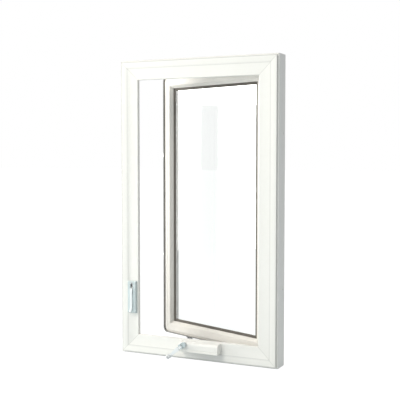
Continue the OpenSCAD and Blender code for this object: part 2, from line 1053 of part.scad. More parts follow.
module crank_hub() {
    color(white)
        at_crank()
            difference() {
                union() {
                    for (x = [-hub_tail, 0])
                        translate([x, 0, -hub_back])
                            cylinder(r = hub_r, h = hub_t);
                    translate([-hub_tail, -hub_r, -hub_back])
                        cube([hub_tail, 2 * hub_r, hub_t]);
                    intersection() {
                        translate([0, 0, -hub_back])
                            cylinder(r = hub_r, h = hub_t + fork_l);
                        translate([-5, -hub_r, -hub_back + hub_t - 1])
                            cube([10, 2 * hub_r, fork_l + 1]);
                    }
                }
                translate([-hub_r - 1, -fork_gap / 2 - slide_gap, -hub_back + hub_t + slide_gap])
                    cube([2 * hub_r + 2, fork_gap + 2 * slide_gap, fork_l + 2]);
                translate([0, 0, -hub_back - 1])
                    cylinder(r = spindle_r, h = hub_t + 0.5);
                translate([0, -hub_r - 1, -fold_y])
                    rotate([-90, 0, 0])
                        cylinder(r = fold_pin_r, h = 2 * hub_r + 2);
                translate([0, 0, -hub_back + 4])
                    rotate([0, -90, 0])
                        cylinder(r = 2, h = hub_tail + hub_r + 1);
            }
}

module set_screw() {
    color(steel)
        at_crank()
            translate([-spindle_r, 0, -hub_back + 4])
                rotate([0, -90, 0])
                    difference() {
                        cylinder(r = 1.95, h = hub_tail + hub_r - spindle_r - 1);
                        translate([0, 0, hub_tail + hub_r - spindle_r - 3])
                            cylinder(r = 1, h = 3, $fn = 6);
                    }
}

module fold_pin() {
    color(steel)
        at_crank()
            translate([0, -6.8, -fold_y])
                rotate([-90, 0, 0])
                    cylinder(r = fold_pin_r, h = 13.6);
}

// Crank arm: a tongue in the fork, widening to a bar and then to the knob's boss
module crank_arm() {
    shoulder_x = hub_r + 3;
    color(white)
        at_crank()
            difference() {
                union() {
                    translate([0, fork_gap / 2, -fold_y])
                        rotate([90, 0, 0])
                            cylinder(r = crank_t / 2, h = fork_gap);
                    translate([0, -fork_gap / 2, -fold_y - crank_t / 2])
                        cube([shoulder_x + 1, fork_gap, crank_t]);
                    translate([0, 0, -fold_y - crank_t / 2])
                        linear_extrude(height = crank_t)
                            polygon([
                                [shoulder_x, -crank_w / 2], [crank_l - 6, 3 - crank_w / 2],
                                [crank_l - 6, crank_w / 2 - 3], [shoulder_x, crank_w / 2]
                            ]);
                    translate([crank_l, 0, -fold_y - crank_t / 2])
                        cylinder(r = 7, h = crank_t);
                    translate([crank_l, 0, -fold_y])
                        cylinder(r = stud_r, h = crank_t / 2 + knob_l - 2.4);
                }
                translate([0, -fork_gap, -fold_y])
                    rotate([-90, 0, 0])
                        cylinder(r = fold_pin_r + running_gap, h = 2 * fork_gap);
            }
}

// Turned knob that spins on the crank's stud
module crank_knob() {
    foot = slide_gap;
    color(white)
        at_crank()
            translate([crank_l, 0, -fold_y + crank_t / 2 + foot])
                rotate_extrude()
                    polygon(concat(
                        [[stud_r + running_gap, 0], [knob_r * 0.62, 0], [knob_r * 0.62, 2]],
                        [for (p = ring_points(knob_r, -50, 60, 12)) [p[0], knob_l - knob_r + p[1] - 1.2]],
                        [
                            [cap_r + 0.4, knob_l - knob_r * 0.28],
                            [cap_r + 0.4, knob_l - 3],
                            [stud_r + running_gap, knob_l - 3]
                        ]
                    ));
}

module knob_cap() {
    color(steel)
        at_crank()
            translate([crank_l, 0, -fold_y + crank_t / 2 + knob_l - 2.4])
                cylinder(r = cap_r, h = 1);
}

// Lock: the lever turns about an axis across the jamb
module escutcheon_outline(inset) {
    polygon([
        [band_step + (inset > 0 ? 1 : 0), inset], [-escutcheon_t + band_step + 4 + inset, inset],
        [-escutcheon_t + band_step + inset, 4 + inset],
        [-escutcheon_t + band_step + inset, escutcheon_h - 4 - inset],
        [-escutcheon_t + band_step + 4 + inset, escutcheon_h - inset],
        [band_step + (inset > 0 ? 1 : 0), escutcheon_h - inset]
    ]);
}

module lock_escutcheon() {
    color(white)
        in_frame()
            difference() {
                translate([lock_x - escutcheon_w / 2, 0, escutcheon_z0])
                    rotate([90, 0, 90])
                        linear_extrude(height = escutcheon_w)
                            escutcheon_outline(0);
                translate([lock_x - escutcheon_w / 2 + escutcheon_wall, 0, escutcheon_z0])
                    rotate([90, 0, 90])
                        linear_extrude(height = escutcheon_w - 2 * escutcheon_wall)
                            escutcheon_outline(escutcheon_wall);
                translate([lock_x - lever_w / 2 - 1, -escutcheon_t, lever_z - lever_hub_r - 12])
                    cube([lever_w + 2, 2 * escutcheon_t, 2 * lever_hub_r + 24]);
                for (z = lock_screw_z)
                    translate([lock_x, -escutcheon_t, z])
                        rotate([-90, 0, 0])
                            cylinder(r = screw_r + running_gap, h = 2 * escutcheon_t);
            }
}
lock_screw_z = [escutcheon_z0 + 12, escutcheon_z0 + escutcheon_h - 8];

module lock_pilots() {
    for (z = lock_screw_z)
        translate([lock_x, -1, z])
            rotate([-90, 0, 0])
                cylinder(r = screw_r + running_gap, h = 16);
}

module lock_screws() {
    color(steel)
        in_frame()
            for (z = lock_screw_z)
                translate([lock_x, band_step - escutcheon_t, z])
                    rotate([90, 0, 0])
                        screw(20);
}

// Two cheeks and a back strap that carry the lever's shaft
module lock_case() {
    color(steel)
        in_frame()
            difference() {
                union()
                    for (x = [lock_x - lever_w / 2 - 2.2, lock_x + lever_w / 2 + 0.4])
                        translate([x, band_step - escutcheon_t + escutcheon_wall + 0.4, lever_z - 15])
                            cube([1.8, lip_back - 4.4, 24]);
                translate([lock_x - 20, lever_y, lever_z])
                    rotate([0, 90, 0])
                        cylinder(r = lever_pin_r + running_gap, h = 40);
            }
}

// Lever with its shaft and pinion; it hangs down when the lock is open
module lock_lever() {
    grip_y = band_step - escutcheon_t - 5;
    color(white)
        in_frame()
            translate([0, lever_y, lever_z]) {
                translate([lock_x - lever_w / 2, 0, 0])
                    rotate([0, 90, 0])
                        cylinder(r = lever_hub_r, h = lever_w);
                translate([lock_x - lever_w / 2, 0, 0])
                    rotate([90, 0, 90])
                        linear_extrude(height = lever_w)
                            polygon([
                                [-4, 5], [grip_y, 1], [grip_y - 1, -8], [grip_y - 1, -lever_l + 14],
                                [grip_y - 9, -lever_l], [grip_y - 6, -lever_l - 1],
                                [grip_y + 4, -lever_l + 12],
                                [grip_y + 4, -14], [2, -5]
                            ]);
                translate([slide_x0, 0, 0])
                    rotate([0, 90, 0])
                        cylinder(r = lever_pin_r, h = lock_x + lever_w / 2 + 2.4 - slide_x0);
                translate([slide_x0, 0, 0])
                    rotate([90, 0, 90])
                        linear_extrude(height = slide_w)
                            pinion_outline();
            }
}

module pinion_outline() {
    tip = pinion_r + 0.7 * pinion_mod;
    root = pinion_r - 1.05 * pinion_mod;
    step = 360 / pinion_teeth;
    polygon([
        for (k = [0:pinion_teeth - 1], p = [[-0.3, root], [-0.09, tip], [0.09, tip], [0.3, root]])
            p[1] * [cos(step * (k + p[0])), sin(step * (k + p[0]))]
    ]);
}

// Rack that the pinion drives, with a finger into the tie bar
module lock_slide() {
    pitch = PI * pinion_mod;
    rack_y = lever_y + pinion_r;
    rack_z0 = lever_z - 10;
    teeth_n = floor((rack_top + 10) / pitch);
    color(steel)
        in_frame()
            union() {
                translate([slide_x0, 0, 0])
                    rotate([90, 0, 90])
                        linear_extrude(height = slide_w)
                            union() {
                                translate([rack_y + 1.6, rack_z0])
                                    square([lip_back - rack_y - 1.9, rack_top + 10]);
                                for (k = [-2:teeth_n - 3])
                                    translate([rack_y, lever_z + (k + 0.5) * pitch])
                                        polygon([[1.7, -1.3], [-0.8, -0.35], [-0.8, 0.35], [1.7, 1.3]]);
                            }
                translate([slide_x0, lip_back - 3, lever_z + 10])
                    cube([1.8, 12, 12]);
                translate([bar_x + 0.2, bar_y + bar_w / 2 - 1, lever_z + 16])
                    rotate([0, 90, 0])
                        cylinder(r = 2, h = slide_x0 - bar_x);
            }
}

module tie_bar() {
    color(steel)
        in_frame()
            difference() {
                translate([bar_x, bar_y, bar_z0])
                    cube([bar_t, bar_w, bar_z1 - bar_z0]);
                translate([bar_x - 1, bar_y + bar_w / 2 - 1, lever_z + 16])
                    rotate([0, 90, 0])
                        cylinder(r = 2, h = bar_t + 2);
            }
}

guide_z = [bar_z0 + 40, frame_h / 2, bar_z1 - 40];

// Plastic saddles that hold the tie bar against the box section
module bar_guides() {
    color("whitesmoke")
        in_frame()
            for (z = guide_z)
                difference() {
                    translate([bar_x - slide_gap, bar_y - 2, z - 12])
                        cube([bar_t + 3, bar_w + 16, 24]);
                    translate([bar_x - slide_gap - 1, bar_y - slide_gap, z - 13])
                        cube([bar_t + 2 * slide_gap + 1, bar_w + 2 * slide_gap, 26]);
                    translate([bar_x - 1, bar_y + bar_w + 7, z])
                        rotate([0, 90, 0])
                            cylinder(r = screw_r + running_gap, h = 10);
                }
}

module guide_pilots() {
    for (z = guide_z)
        translate([bar_x - 9, bar_y + bar_w + 7, z])
            rotate([0, 90, 0])
                cylinder(r = screw_r + running_gap, h = 10);
}

module guide_screws() {
    color(steel)
        in_frame()
            for (z = guide_z)
                translate([bar_x - slide_gap + bar_t + 3, bar_y + bar_w + 7, z])
                    rotate([0, 90, 0])
                        screw(11);
}

// Heights of the two keepers, and of the rollers that wait above them
keeper_heights = [sash_edge + keeper_z, frame_h - sash_edge - keeper_z];
cam_y = bar_y + bar_w / 2;

module lock_rollers() {
    color(steel)
        in_frame()
            for (z = keeper_heights)
                translate([bar_x + bar_t, cam_y, z + roller_lift])
                    rotate([0, 90, 0])
                        cylinder(r = cam_r, h = cam_l);
}

// Keepers on the edge of the lock stile, which hook behind the rollers
module keepers() {
    hook_y = cam_y - cam_r - 3.2;
    color(steel)
        at_sash()
            for (z = keeper_heights)
                translate([-sash_w / 2, -sash_y, z - sash_edge])
                    difference() {
                        union() {
                            translate([-1.5, sash_y + flange_step + 0.3, -20])
                                cube([1.5, 26, 40]);
                            translate([-1.5, hook_y, -7])
                                cube([1.3, sash_y + flange_step + 1 - hook_y, 14]);
                            translate([-4.8, hook_y, -7])
                                cube([4.6, 2.8, 14]);
                        }
                        for (side = [-1, 1])
                            translate([-3, sash_y + flange_step + 14, side * 14])
                                rotate([0, 90, 0])
                                    cylinder(r = screw_r + running_gap, h = 5);
                    }
}

module keeper_pilots() {
    for (z = keeper_heights, side = [-1, 1])
        translate([-sash_w / 2 - 1, flange_step + 14, z - sash_edge + side * 14])
            rotate([0, 90, 0])
                cylinder(r = screw_r + running_gap, h = 11);
}

module keeper_screws() {
    color(steel)
        at_sash()
            for (z = keeper_heights, side = [-1, 1])
                translate([-sash_w / 2 - 1.5, flange_step + 14, z - sash_edge + side * 14])
                    rotate([0, -90, 0])
                        screw(10);
}

sill();
head();
hinge_jamb();
lock_jamb();
frame_seal();
weep_covers();
sash_bottom_rail();
sash_top_rail();
sash_hinge_stile();
sash_lock_stile();
sash_seal();
bead_bottom();
bead_top();
bead_hinge_side();
bead_lock_side();
glazing_gasket();
inner_pane();
outer_pane();
glass_spacer();
glazing_tape();
setting_blocks();
hinge_plate_lower();
hinge_plate_upper();
hinge_washers();
sash_plate_lower();
sash_plate_upper();
hinge_screws();
sash_plate_screws();
sash_track();
track_screws();
operator_base();
operator_lid();
operator_cover();
operator_screws();
spindle_bush();
worm_spindle();
worm_wheel();
wheel_pin();
operator_arm();
arm_pin();
guide_roller();
crank_hub();
set_screw();
fold_pin();
crank_arm();
crank_knob();
knob_cap();
lock_escutcheon();
lock_case();
lock_lever();
lock_slide();
tie_bar();
bar_guides();
lock_rollers();
lock_screws();
guide_screws();
keepers();
keeper_screws();
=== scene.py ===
"""Looks of a crank-out casement window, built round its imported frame.

Sizes are in metres in the part's own frame: +X to the hinge side seen from the room,
+Y to the weather side and +Z up, with the origin under the sill.
"""

import json
import logging
import math
from dataclasses import dataclass, field
from enum import Enum
from typing import Callable, ClassVar, Iterable, NamedTuple, Sequence

import bmesh
import bpy
from mathutils import Matrix, Vector


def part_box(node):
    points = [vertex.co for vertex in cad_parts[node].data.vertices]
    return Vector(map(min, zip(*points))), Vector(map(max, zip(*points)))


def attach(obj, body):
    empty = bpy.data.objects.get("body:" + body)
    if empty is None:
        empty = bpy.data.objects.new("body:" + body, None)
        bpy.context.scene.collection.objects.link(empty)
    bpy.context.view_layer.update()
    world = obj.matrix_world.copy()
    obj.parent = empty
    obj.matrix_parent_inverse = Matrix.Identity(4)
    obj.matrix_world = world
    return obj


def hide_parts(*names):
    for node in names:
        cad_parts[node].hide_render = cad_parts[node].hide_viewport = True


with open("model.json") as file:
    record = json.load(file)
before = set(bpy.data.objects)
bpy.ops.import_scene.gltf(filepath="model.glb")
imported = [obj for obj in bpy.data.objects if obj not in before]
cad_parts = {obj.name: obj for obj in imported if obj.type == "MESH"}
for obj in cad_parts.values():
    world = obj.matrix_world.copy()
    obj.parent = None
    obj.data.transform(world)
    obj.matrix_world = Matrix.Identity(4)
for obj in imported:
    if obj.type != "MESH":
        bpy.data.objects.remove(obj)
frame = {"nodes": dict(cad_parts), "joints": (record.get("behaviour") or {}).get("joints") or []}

LOG = logging.getLogger("casement_window")
MM = 0.001
HAIR = 0.0005
MERGE = 1e-6
FLAT_DEG = 0.5
SHARP_DEG = 32.0
NOISE_BAND = (0.3, 0.7)
QUARTER_TURN = Matrix.Rotation(math.radians(90.0), 4, "X")
SOCKET_KINDS = {1: "Float", 3: "Vector", 4: "Color"}
Colour = tuple[float, float, float]
Material = bpy.types.Material
Mesh = bpy.types.Mesh
Node = bpy.types.Node
NodeTree = bpy.types.NodeTree
Object = bpy.types.Object
Socket = bpy.types.NodeSocket
Sockets = bpy.types.bpy_prop_collection


class Body(Enum):
    """The rigid bodies that the pieces ride on."""

    FRAME = "frame"
    SASH = "sash"
    ARM = "operator_arm"
    ROLLER = "guide_roller"
    SPINDLE = "spindle"
    CRANK = "crank"
    KNOB = "knob"
    LEVER = "lock_lever"
    TIE_BAR = "tie_bar"


class Slot(Enum):
    """The part's own material slots."""

    FRAME_VINYL = "frame_vinyl"
    SASH_VINYL = "sash_vinyl"
    WEATHERSTRIP = "weatherstrip"
    GLASS = "glass"
    SPACER = "spacer"
    STEEL = "steel"
    CAST = "cast"
    BRONZE = "bronze"
    PAINTED = "painted"
    KNOB = "knob"
    NYLON = "nylon"


class Run(Enum):
    """The way a bar's extrusion or rolling lines run, as how far they are drawn out."""

    ALONG_X = (0.03, 1.0, 1.0)
    ALONG_Z = (1.0, 1.0, 0.03)
    NONE = (1.0, 1.0, 1.0)


class NodeKit:
    """Adds and joins the nodes of one node tree."""

    def __init__(self, tree: NodeTree) -> None:
        """Keeps the shader or geometry tree that the nodes go into."""
        self.tree = tree

    def declare(self, way: str, sockets: dict[str, object]) -> None:
        """Gives the tree itself some inputs or outputs.

        Args:
            way: "INPUT" or "OUTPUT".
            sockets: by name, a default value, or the socket type's last word where it has none.
        """
        for name, value in sockets.items():
            size = len(value) if isinstance(value, tuple) else 1
            kind = value if isinstance(value, str) else SOCKET_KINDS[size]
            socket = self.tree.interface.new_socket(name, in_out=way, socket_type="NodeSocket" + kind)
            if kind != value:
                socket.default_value = value

    def feed(self, socket: Socket, value: object) -> None:
        """Joins a socket to another, or sets its value.

        Args:
            socket: the input to feed.
            value: an output socket to link from, a plain value, or None to leave it.
        """
        if isinstance(value, Socket):
            self.tree.links.new(value, socket)
        elif value is not None:
            socket.default_value = value

    def add(self, kind: str, feeds: dict | None = None, **settings: object) -> Node:
        """Adds one node.

        Args:
            kind: the node's type name.
            feeds: inputs by name or number, each a value or a socket to link from.
            settings: plain attributes of the node.

        Returns:
            The new node.
        """
        node = self.tree.nodes.new(kind)
        for name, value in settings.items():
            setattr(node, name, value)
        for key, value in (feeds or {}).items():
            self.feed(node.inputs[key], value)
        return node

    def sums(self, operation: str, *values: object) -> Socket:
        """One step of arithmetic by the Math node's operation of that name."""
        return self.add("ShaderNodeMath", dict(enumerate(values)), operation=operation).outputs[0]

    def times(self, product: object, *factors: object) -> Socket:
        """The product of some values."""
        for factor in factors:
            product = self.sums("MULTIPLY", product, factor)
        return product

    def apart(self, first: object, second: object) -> Socket:
        """How far apart two values lie."""
        return self.sums("ABSOLUTE", self.sums("SUBTRACT", first, second))

    def vector(self, operation: str, first: object, second: object, output: str = "Vector") -> Socket:
        """One step of vector arithmetic, with its result from the output of that name."""
        return self.add("ShaderNodeVectorMath", {0: first, 1: second}, operation=operation).outputs[output]

    def parts(self, vector: object) -> Sockets:
        """The three parts of a vector."""
        return self.add("ShaderNodeSeparateXYZ", {0: vector}).outputs

    def lift(self, height: object) -> Socket:
        """A vector that points straight up."""
        return self.add("ShaderNodeCombineXYZ", {2: height}).outputs[0]

    def place(self) -> Socket:
        """Where the shaded point lies in its object."""
        return self.add("ShaderNodeTexCoord").outputs["Object"]

    def normal(self) -> Socket:
        """The way the shaded face looks."""
        return self.add("ShaderNodeNewGeometry").outputs["Normal"]

    def noise(self, place: Socket, scale: object, detail: float = 2.0, roughness: float = 0.5) -> Socket:
        """The height of a noise texture at a place."""
        feeds = {"Vector": place, "Scale": scale, "Detail": detail, "Roughness": roughness}
        return self.add("ShaderNodeTexNoise", feeds).outputs[0]

    def span(
        self, value: object, low: float, high: float, to_low: float = 0.0, to_high: float = 1.0
    ) -> Socket:
        """Carries a value from one span to another, held at its ends.

        Args:
            value: the socket to read.
            low: the lower end read.
            high: the upper end read.
            to_low: what the lower end becomes.
            to_high: what the upper end becomes.

        Returns:
            The result's socket.
        """
        feeds = {0: value, 1: low, 2: high, 3: to_low, 4: to_high}
        return self.add("ShaderNodeMapRange", feeds).outputs[0]

    def blend(self, share: object, first: object, second: object) -> Socket:
        """Mixes two colours, with the share of the second."""
        feeds = {0: share, 6: first, 7: second}
        return self.add("ShaderNodeMix", feeds, data_type="RGBA").outputs[2]


Fill = Callable[[NodeKit, Sockets], Socket]


def rgba(colour: Colour) -> tuple[float, float, float, float]:
    """A colour with full opacity."""
    return (*colour, 1.0)


class ShaderGroups:
    """The shared surface effects, each a node group that is built once."""

    _made: dict[str, NodeTree] = {}
    _PLACING = {"Place": (0.0, 0.0, 0.0), "Middle": (0.0, 0.0, 0.5), "Half size": (0.3, 0.0, 0.5)}
    _DRIFT = (0.36, 0.64)
    _LEVEL = (0.35, 0.95)
    _BENT = (0.93, 0.995)
    _BROKEN = (0.42, 0.6)
    _SPARSE = (0.68, 0.74)
    _SEAM_EDGE = (0.5, 1.2)
    _CREASE_EDGE = (0.3, 1.6)
    _FACE_DEPTH = 0.0004

    @classmethod
    def _group(cls, name: str, inputs: dict[str, object], output: str, fill: Fill) -> NodeTree:
        """Builds a group, or finds the one that is there.

        Args:
            name: the group's name.
            inputs: the default value of each input by name.
            output: the output's name, where "Colour" is a colour and the rest are numbers.
            fill: makes the nodes inside and gives the result's socket.

        Returns:
            The node group.
        """
        if name not in cls._made:
            cls._made[name] = bpy.data.node_groups.new(name, "ShaderNodeTree")
            kit = NodeKit(cls._made[name])
            kit.declare("INPUT", inputs)
            kit.declare("OUTPUT", {output: "Color" if output == "Colour" else "Float"})
            kit.add("NodeGroupOutput", {output: fill(kit, kit.add("NodeGroupInput").outputs)})
        return cls._made[name]

    @classmethod
    def mottle(cls) -> NodeTree:
        """Slow cloudy drift between two colours, as in a moulded or extruded batch."""
        finer, fine_share = 17.0, 0.35

        def fill(kit: NodeKit, given: Sockets) -> Socket:
            place = kit.place()
            broad = kit.noise(place, given["Scale"], detail=4.0, roughness=0.55)
            fine = kit.noise(place, kit.times(given["Scale"], finer))
            both = kit.sums("MULTIPLY_ADD", fine, fine_share, kit.times(broad, 1.0 - fine_share))
            share = kit.times(kit.span(both, *cls._DRIFT), given["Amount"])
            return kit.blend(share, given["Colour"], given["Tint"])

        grey, darker = rgba((0.8, 0.8, 0.8)), rgba((0.7, 0.7, 0.7))
        inputs = {"Colour": grey, "Tint": darker, "Scale": 6.0, "Amount": 1.0}
        return cls._group("mottle", inputs, "Colour", fill)

    @classmethod
    def drawn_lines(cls) -> NodeTree:
        """Fine relief that is drawn out one way, as dies and rollers leave it."""

        def fill(kit: NodeKit, given: Sockets) -> Socket:
            drawn = kit.vector("MULTIPLY", kit.place(), given["Drawn"])
            return kit.noise(drawn, given["Scale"], detail=3.0, roughness=0.6)

        return cls._group("drawn_lines", {"Drawn": (1.0, 1.0, 1.0), "Scale": 400.0}, "Height", fill)

    @classmethod
    def settled_dust(cls) -> NodeTree:
        """A patchy mask on faces that look up, where dust settles."""

        def fill(kit: NodeKit, given: Sockets) -> Socket:
            flat = kit.span(kit.parts(kit.normal())[2], *cls._LEVEL)
            patch = kit.noise(kit.place(), given["Scale"], detail=5.0)
            return kit.times(flat, kit.span(patch, *NOISE_BAND, to_low=0.25), given["Amount"])

        return cls._group("settled_dust", {"Scale": 90.0, "Amount": 0.3}, "Mask", fill)

    @classmethod
    def edge_wear(cls) -> NodeTree:
        """A broken mask along edges, where hands and neighbours rub."""

        def fill(kit: NodeKit, given: Sockets) -> Socket:
            rounded = kit.add("ShaderNodeBevel", {"Radius": given["Reach"]}, samples=4).outputs[0]
            bend = kit.vector("DOT_PRODUCT", rounded, kit.normal(), "Value")
            edge = kit.span(bend, *cls._BENT, 1.0, 0.0)
            broken = kit.span(kit.noise(kit.place(), given["Scale"], detail=4.0), *cls._BROKEN)
            return kit.times(edge, broken, given["Amount"])

        return cls._group("edge_wear", {"Reach": 0.0008, "Scale": 160.0, "Amount": 0.6}, "Mask", fill)

    @classmethod
    def scuffs(cls) -> NodeTree:
        """Sparse crossing scratches and rub marks."""
        ways = ((0.5, (1.0, 0.06, 1.0)), (-0.9, (0.05, 1.0, 1.0)))

        def fill(kit: NodeKit, given: Sockets) -> Socket:
            place = kit.place()
            marks: list[Socket] = []
            for turn, drawn in ways:
                turned = kit.add("ShaderNodeMapping", {"Vector": place, "Rotation": (turn,) * 3})
                long = kit.vector("MULTIPLY", turned.outputs[0], drawn)
                marks.append(kit.span(kit.noise(long, given["Scale"], detail=1.0), *cls._SPARSE))
            return kit.times(kit.sums("MAXIMUM", *marks), given["Amount"])

        return cls._group("scuffs", {"Scale": 300.0, "Amount": 0.5}, "Mask", fill)

    @staticmethod
    def _insets(kit: NodeKit, given: Sockets) -> list[Socket]:
        """How far in from the sides, and from the head or foot, a point of a frame lies.

        Args:
            kit: the group's kit.
            given: the group's inputs.

        Returns:
            The two insets.
        """
        place, middle, half = (kit.parts(given[name]) for name in ShaderGroups._PLACING)
        return [kit.sums("SUBTRACT", half[i], kit.apart(place[i], middle[i])) for i in (0, 2)]

    @classmethod
    def mitre_seam(cls) -> NodeTree:
        """The fine line of a welded mitre, on the planes that halve a frame's corners."""

        def fill(kit: NodeKit, given: Sockets) -> Socket:
            off = kit.apart(*cls._insets(kit, given))
            return kit.span(kit.sums("DIVIDE", off, given["Line"]), *cls._SEAM_EDGE, 1.0, 0.0)

        return cls._group("mitre_seam", {**cls._PLACING, "Line": MM}, "Mask", fill)

    @classmethod
    def crease_shading(cls) -> NodeTree:
        """Painted shade lying in a crease that runs round a frame's room face, standing in for the shadow at
        the profile's step.
        """

        def fill(kit: NodeKit, given: Sockets) -> Socket:
            off = kit.apart(kit.sums("MINIMUM", *cls._insets(kit, given)), given["Inset"])
            line = kit.span(kit.sums("DIVIDE", off, given["Line"]), *cls._CREASE_EDGE, 1.0, 0.0)
            depth = kit.sums("SUBTRACT", kit.parts(given["Place"])[1], given["Front"])
            return kit.times(line, kit.span(depth, 0.0, cls._FACE_DEPTH, 1.0, 0.0))

        inputs = {**cls._PLACING, "Inset": 0.02, "Front": 0.0, "Line": MM}
        return cls._group("crease_shading", inputs, "Mask", fill)


class Surface:
    """One material under way: its kit, its shader and the shared effects placed in it."""

    def __init__(self, name: str) -> None:
        """Starts a material with one Principled shader.

        Args:
            name: the material's name.
        """
        self.material = bpy.data.materials.new(name)
        self.material.use_nodes = True
        self.material.node_tree.nodes.clear()
        self.kit = NodeKit(self.material.node_tree)
        self.shader = self.kit.add("ShaderNodeBsdfPrincipled")
        self.kit.add("ShaderNodeOutputMaterial", {"Surface": self.shader.outputs[0]})

    def _feed(self, node: Node, feeds: dict[str, object]) -> None:
        """Feeds a node's inputs by name, with an underscore for each space."""
        for name, value in feeds.items():
            self.kit.feed(node.inputs[name.replace("_", " ")], value)

    def set(self, **values: object) -> None:
        """Feeds the shader's own inputs."""
        self._feed(self.shader, values)

    def effect(self, tree: NodeTree, **feeds: object) -> Socket:
        """Places a shared effect.

        Args:
            tree: the effect's node group.
            feeds: its inputs by name, with an underscore for each space.

        Returns:
            The effect's output socket.
        """
        node = self.kit.add("ShaderNodeGroup", node_tree=tree)
        self._feed(node, feeds)
        return node.outputs[0]

    def mottled(self, colour: Colour, tint: Colour, scale: float, amount: float) -> Socket:
        """A base colour that drifts towards its tint."""
        tree = ShaderGroups.mottle()
        return self.effect(tree, Colour=rgba(colour), Tint=rgba(tint), Scale=scale, Amount=amount)

    def lines(self, run: Run, scale: float) -> Socket:
        """The height of fine relief drawn out one way."""
        return self.effect(ShaderGroups.drawn_lines(), Drawn=run.value, Scale=scale)

    def dust(self, scale: float, amount: float) -> Socket:
        """The mask of settled dust."""
        return self.effect(ShaderGroups.settled_dust(), Scale=scale, Amount=amount)

    def band(self, height: Socket, low: float, high: float) -> Socket:
        """Carries the band that a noise mostly fills to another one."""
        return self.kit.span(height, *NOISE_BAND, low, high)

    def relief(self, layers: Iterable[tuple[Socket, float]]) -> None:
        """Adds bump layers to the shader's normal.

        Args:
            layers: pairs of height socket and depth in metres.
        """
        normal: Socket | None = None
        for height, depth in layers:
            feeds = {"Height": height, "Distance": depth, "Strength": 1.0, "Normal": normal}
            normal = self.kit.add("ShaderNodeBump", feeds).outputs[0]
        self.kit.feed(self.shader.inputs["Normal"], normal)


class ShadeCrease(NamedTuple):
    """A painted shade line round a frame: how far in it lies, how strong it is and how wide."""

    inset: float
    amount: float
    width: float


@dataclass(frozen=True)
class Seam:
    """Where the welded mitres of a four-sided frame lie, in its closed place."""

    middle: tuple[float, float, float]
    half_size: tuple[float, float, float]
    shift: tuple[float, float, float] = (0.0, 0.0, 0.0)
    turn: float = 0.0
    line: float = 0.0011
    shade_creases: tuple[ShadeCrease, ...] = ()
    front: float = 0.0


@dataclass(frozen=True)
class Vinyl:
    """Satin extruded or moulded plastic with die lines, welded seams, settled dust and painted shade lines
    in its creases.
    """

    name: str
    colour: Colour
    tint: Colour
    run: Run = Run.NONE
    roughness: float = 0.38
    dust: float = 0.18
    grain: float = 0.00003
    seam: Seam | None = None
    seam_share: float = 0.45
    seam_colour: Colour = (0.42, 0.41, 0.38)
    # Colour of the painted shade lines in the creases.
    painted_crease_colour: Colour = (0.40, 0.40, 0.38)
    line_share: float = 0.04
    line_colour: Colour = (0.5, 0.5, 0.47)
    dust_colour: Colour = (0.52, 0.48, 0.42)

    def _seamed(self, s: Surface, base: Socket) -> Socket:
        """Draws the welded seams, and the painted shade lines in the creases, where they lie with the frame
        shut.

        Args:
            s: the material under way.
            base: the colour to draw on.

        Returns:
            The colour with its lines.
        """
        place, seam = s.kit.place(), self.seam
        turn = {"Vector": place, "Location": seam.shift, "Rotation": (0.0, 0.0, seam.turn)}
        shut = s.kit.add("ShaderNodeMapping", turn).outputs[0]
        sizes = {"Middle": seam.middle, "Half_size": seam.half_size}
        mitre = s.effect(ShaderGroups.mitre_seam(), Place=shut, Line=seam.line, **sizes)
        base = s.kit.blend(s.kit.times(mitre, self.seam_share), base, rgba(self.seam_colour))
        # Painted shade: a dark line along each crease of the room face.
        for inset, amount, width in seam.shade_creases:
            lie = {"Place": place, "Inset": inset, "Front": seam.front, "Line": width}
            line_shade = s.effect(ShaderGroups.crease_shading(), **lie, **sizes)
            base = s.kit.blend(s.kit.times(line_shade, amount), base, rgba(self.painted_crease_colour))
        return base

    def make(self) -> Material:
        """Builds the material."""
        s = Surface(self.name)
        base = s.mottled(self.colour, self.tint, scale=5.0, amount=0.8)
        if self.seam is not None:
            base = self._seamed(s, base)
        dust = s.dust(scale=70.0, amount=self.dust)
        lines = s.lines(self.run, scale=420.0)
        pores = s.lines(Run.NONE, scale=2600.0)
        scuffs = s.effect(ShaderGroups.scuffs(), Scale=120.0, Amount=0.6)
        shaded = s.kit.blend(s.kit.times(lines, self.line_share), base, rgba(self.line_colour))
        rough = s.band(lines, self.roughness - 0.06, self.roughness + 0.08)
        rough = s.kit.sums("MULTIPLY_ADD", scuffs, 0.1, rough)
        s.set(
            Base_Color=s.kit.blend(dust, shaded, rgba(self.dust_colour)),
            Roughness=s.kit.sums("MULTIPLY_ADD", dust, 0.5, rough),
            IOR=1.53,
        )
        s.relief([(lines, self.grain), (pores, self.grain * 0.4)])
        return s.material


@dataclass(frozen=True)
class Rubber:
    """Soft dark seal with a fine chalky grain."""

    name: str
    colour: Colour
    bloom: Colour
    dust_colour: Colour = (0.3, 0.28, 0.25)
    grain: float = 0.00005

    def make(self) -> Material:
        """Builds the material."""
        s = Surface(self.name)
        base = s.mottled(self.colour, self.bloom, scale=28.0, amount=0.7)
        dust = s.dust(scale=140.0, amount=0.35)
        pores = s.lines(Run.NONE, scale=3200.0)
        s.set(
            Base_Color=s.kit.blend(dust, base, rgba(self.dust_colour)),
            Roughness=s.band(pores, 0.58, 0.85),
            IOR=1.5,
        )
        s.relief([(pores, self.grain)])
        return s.material


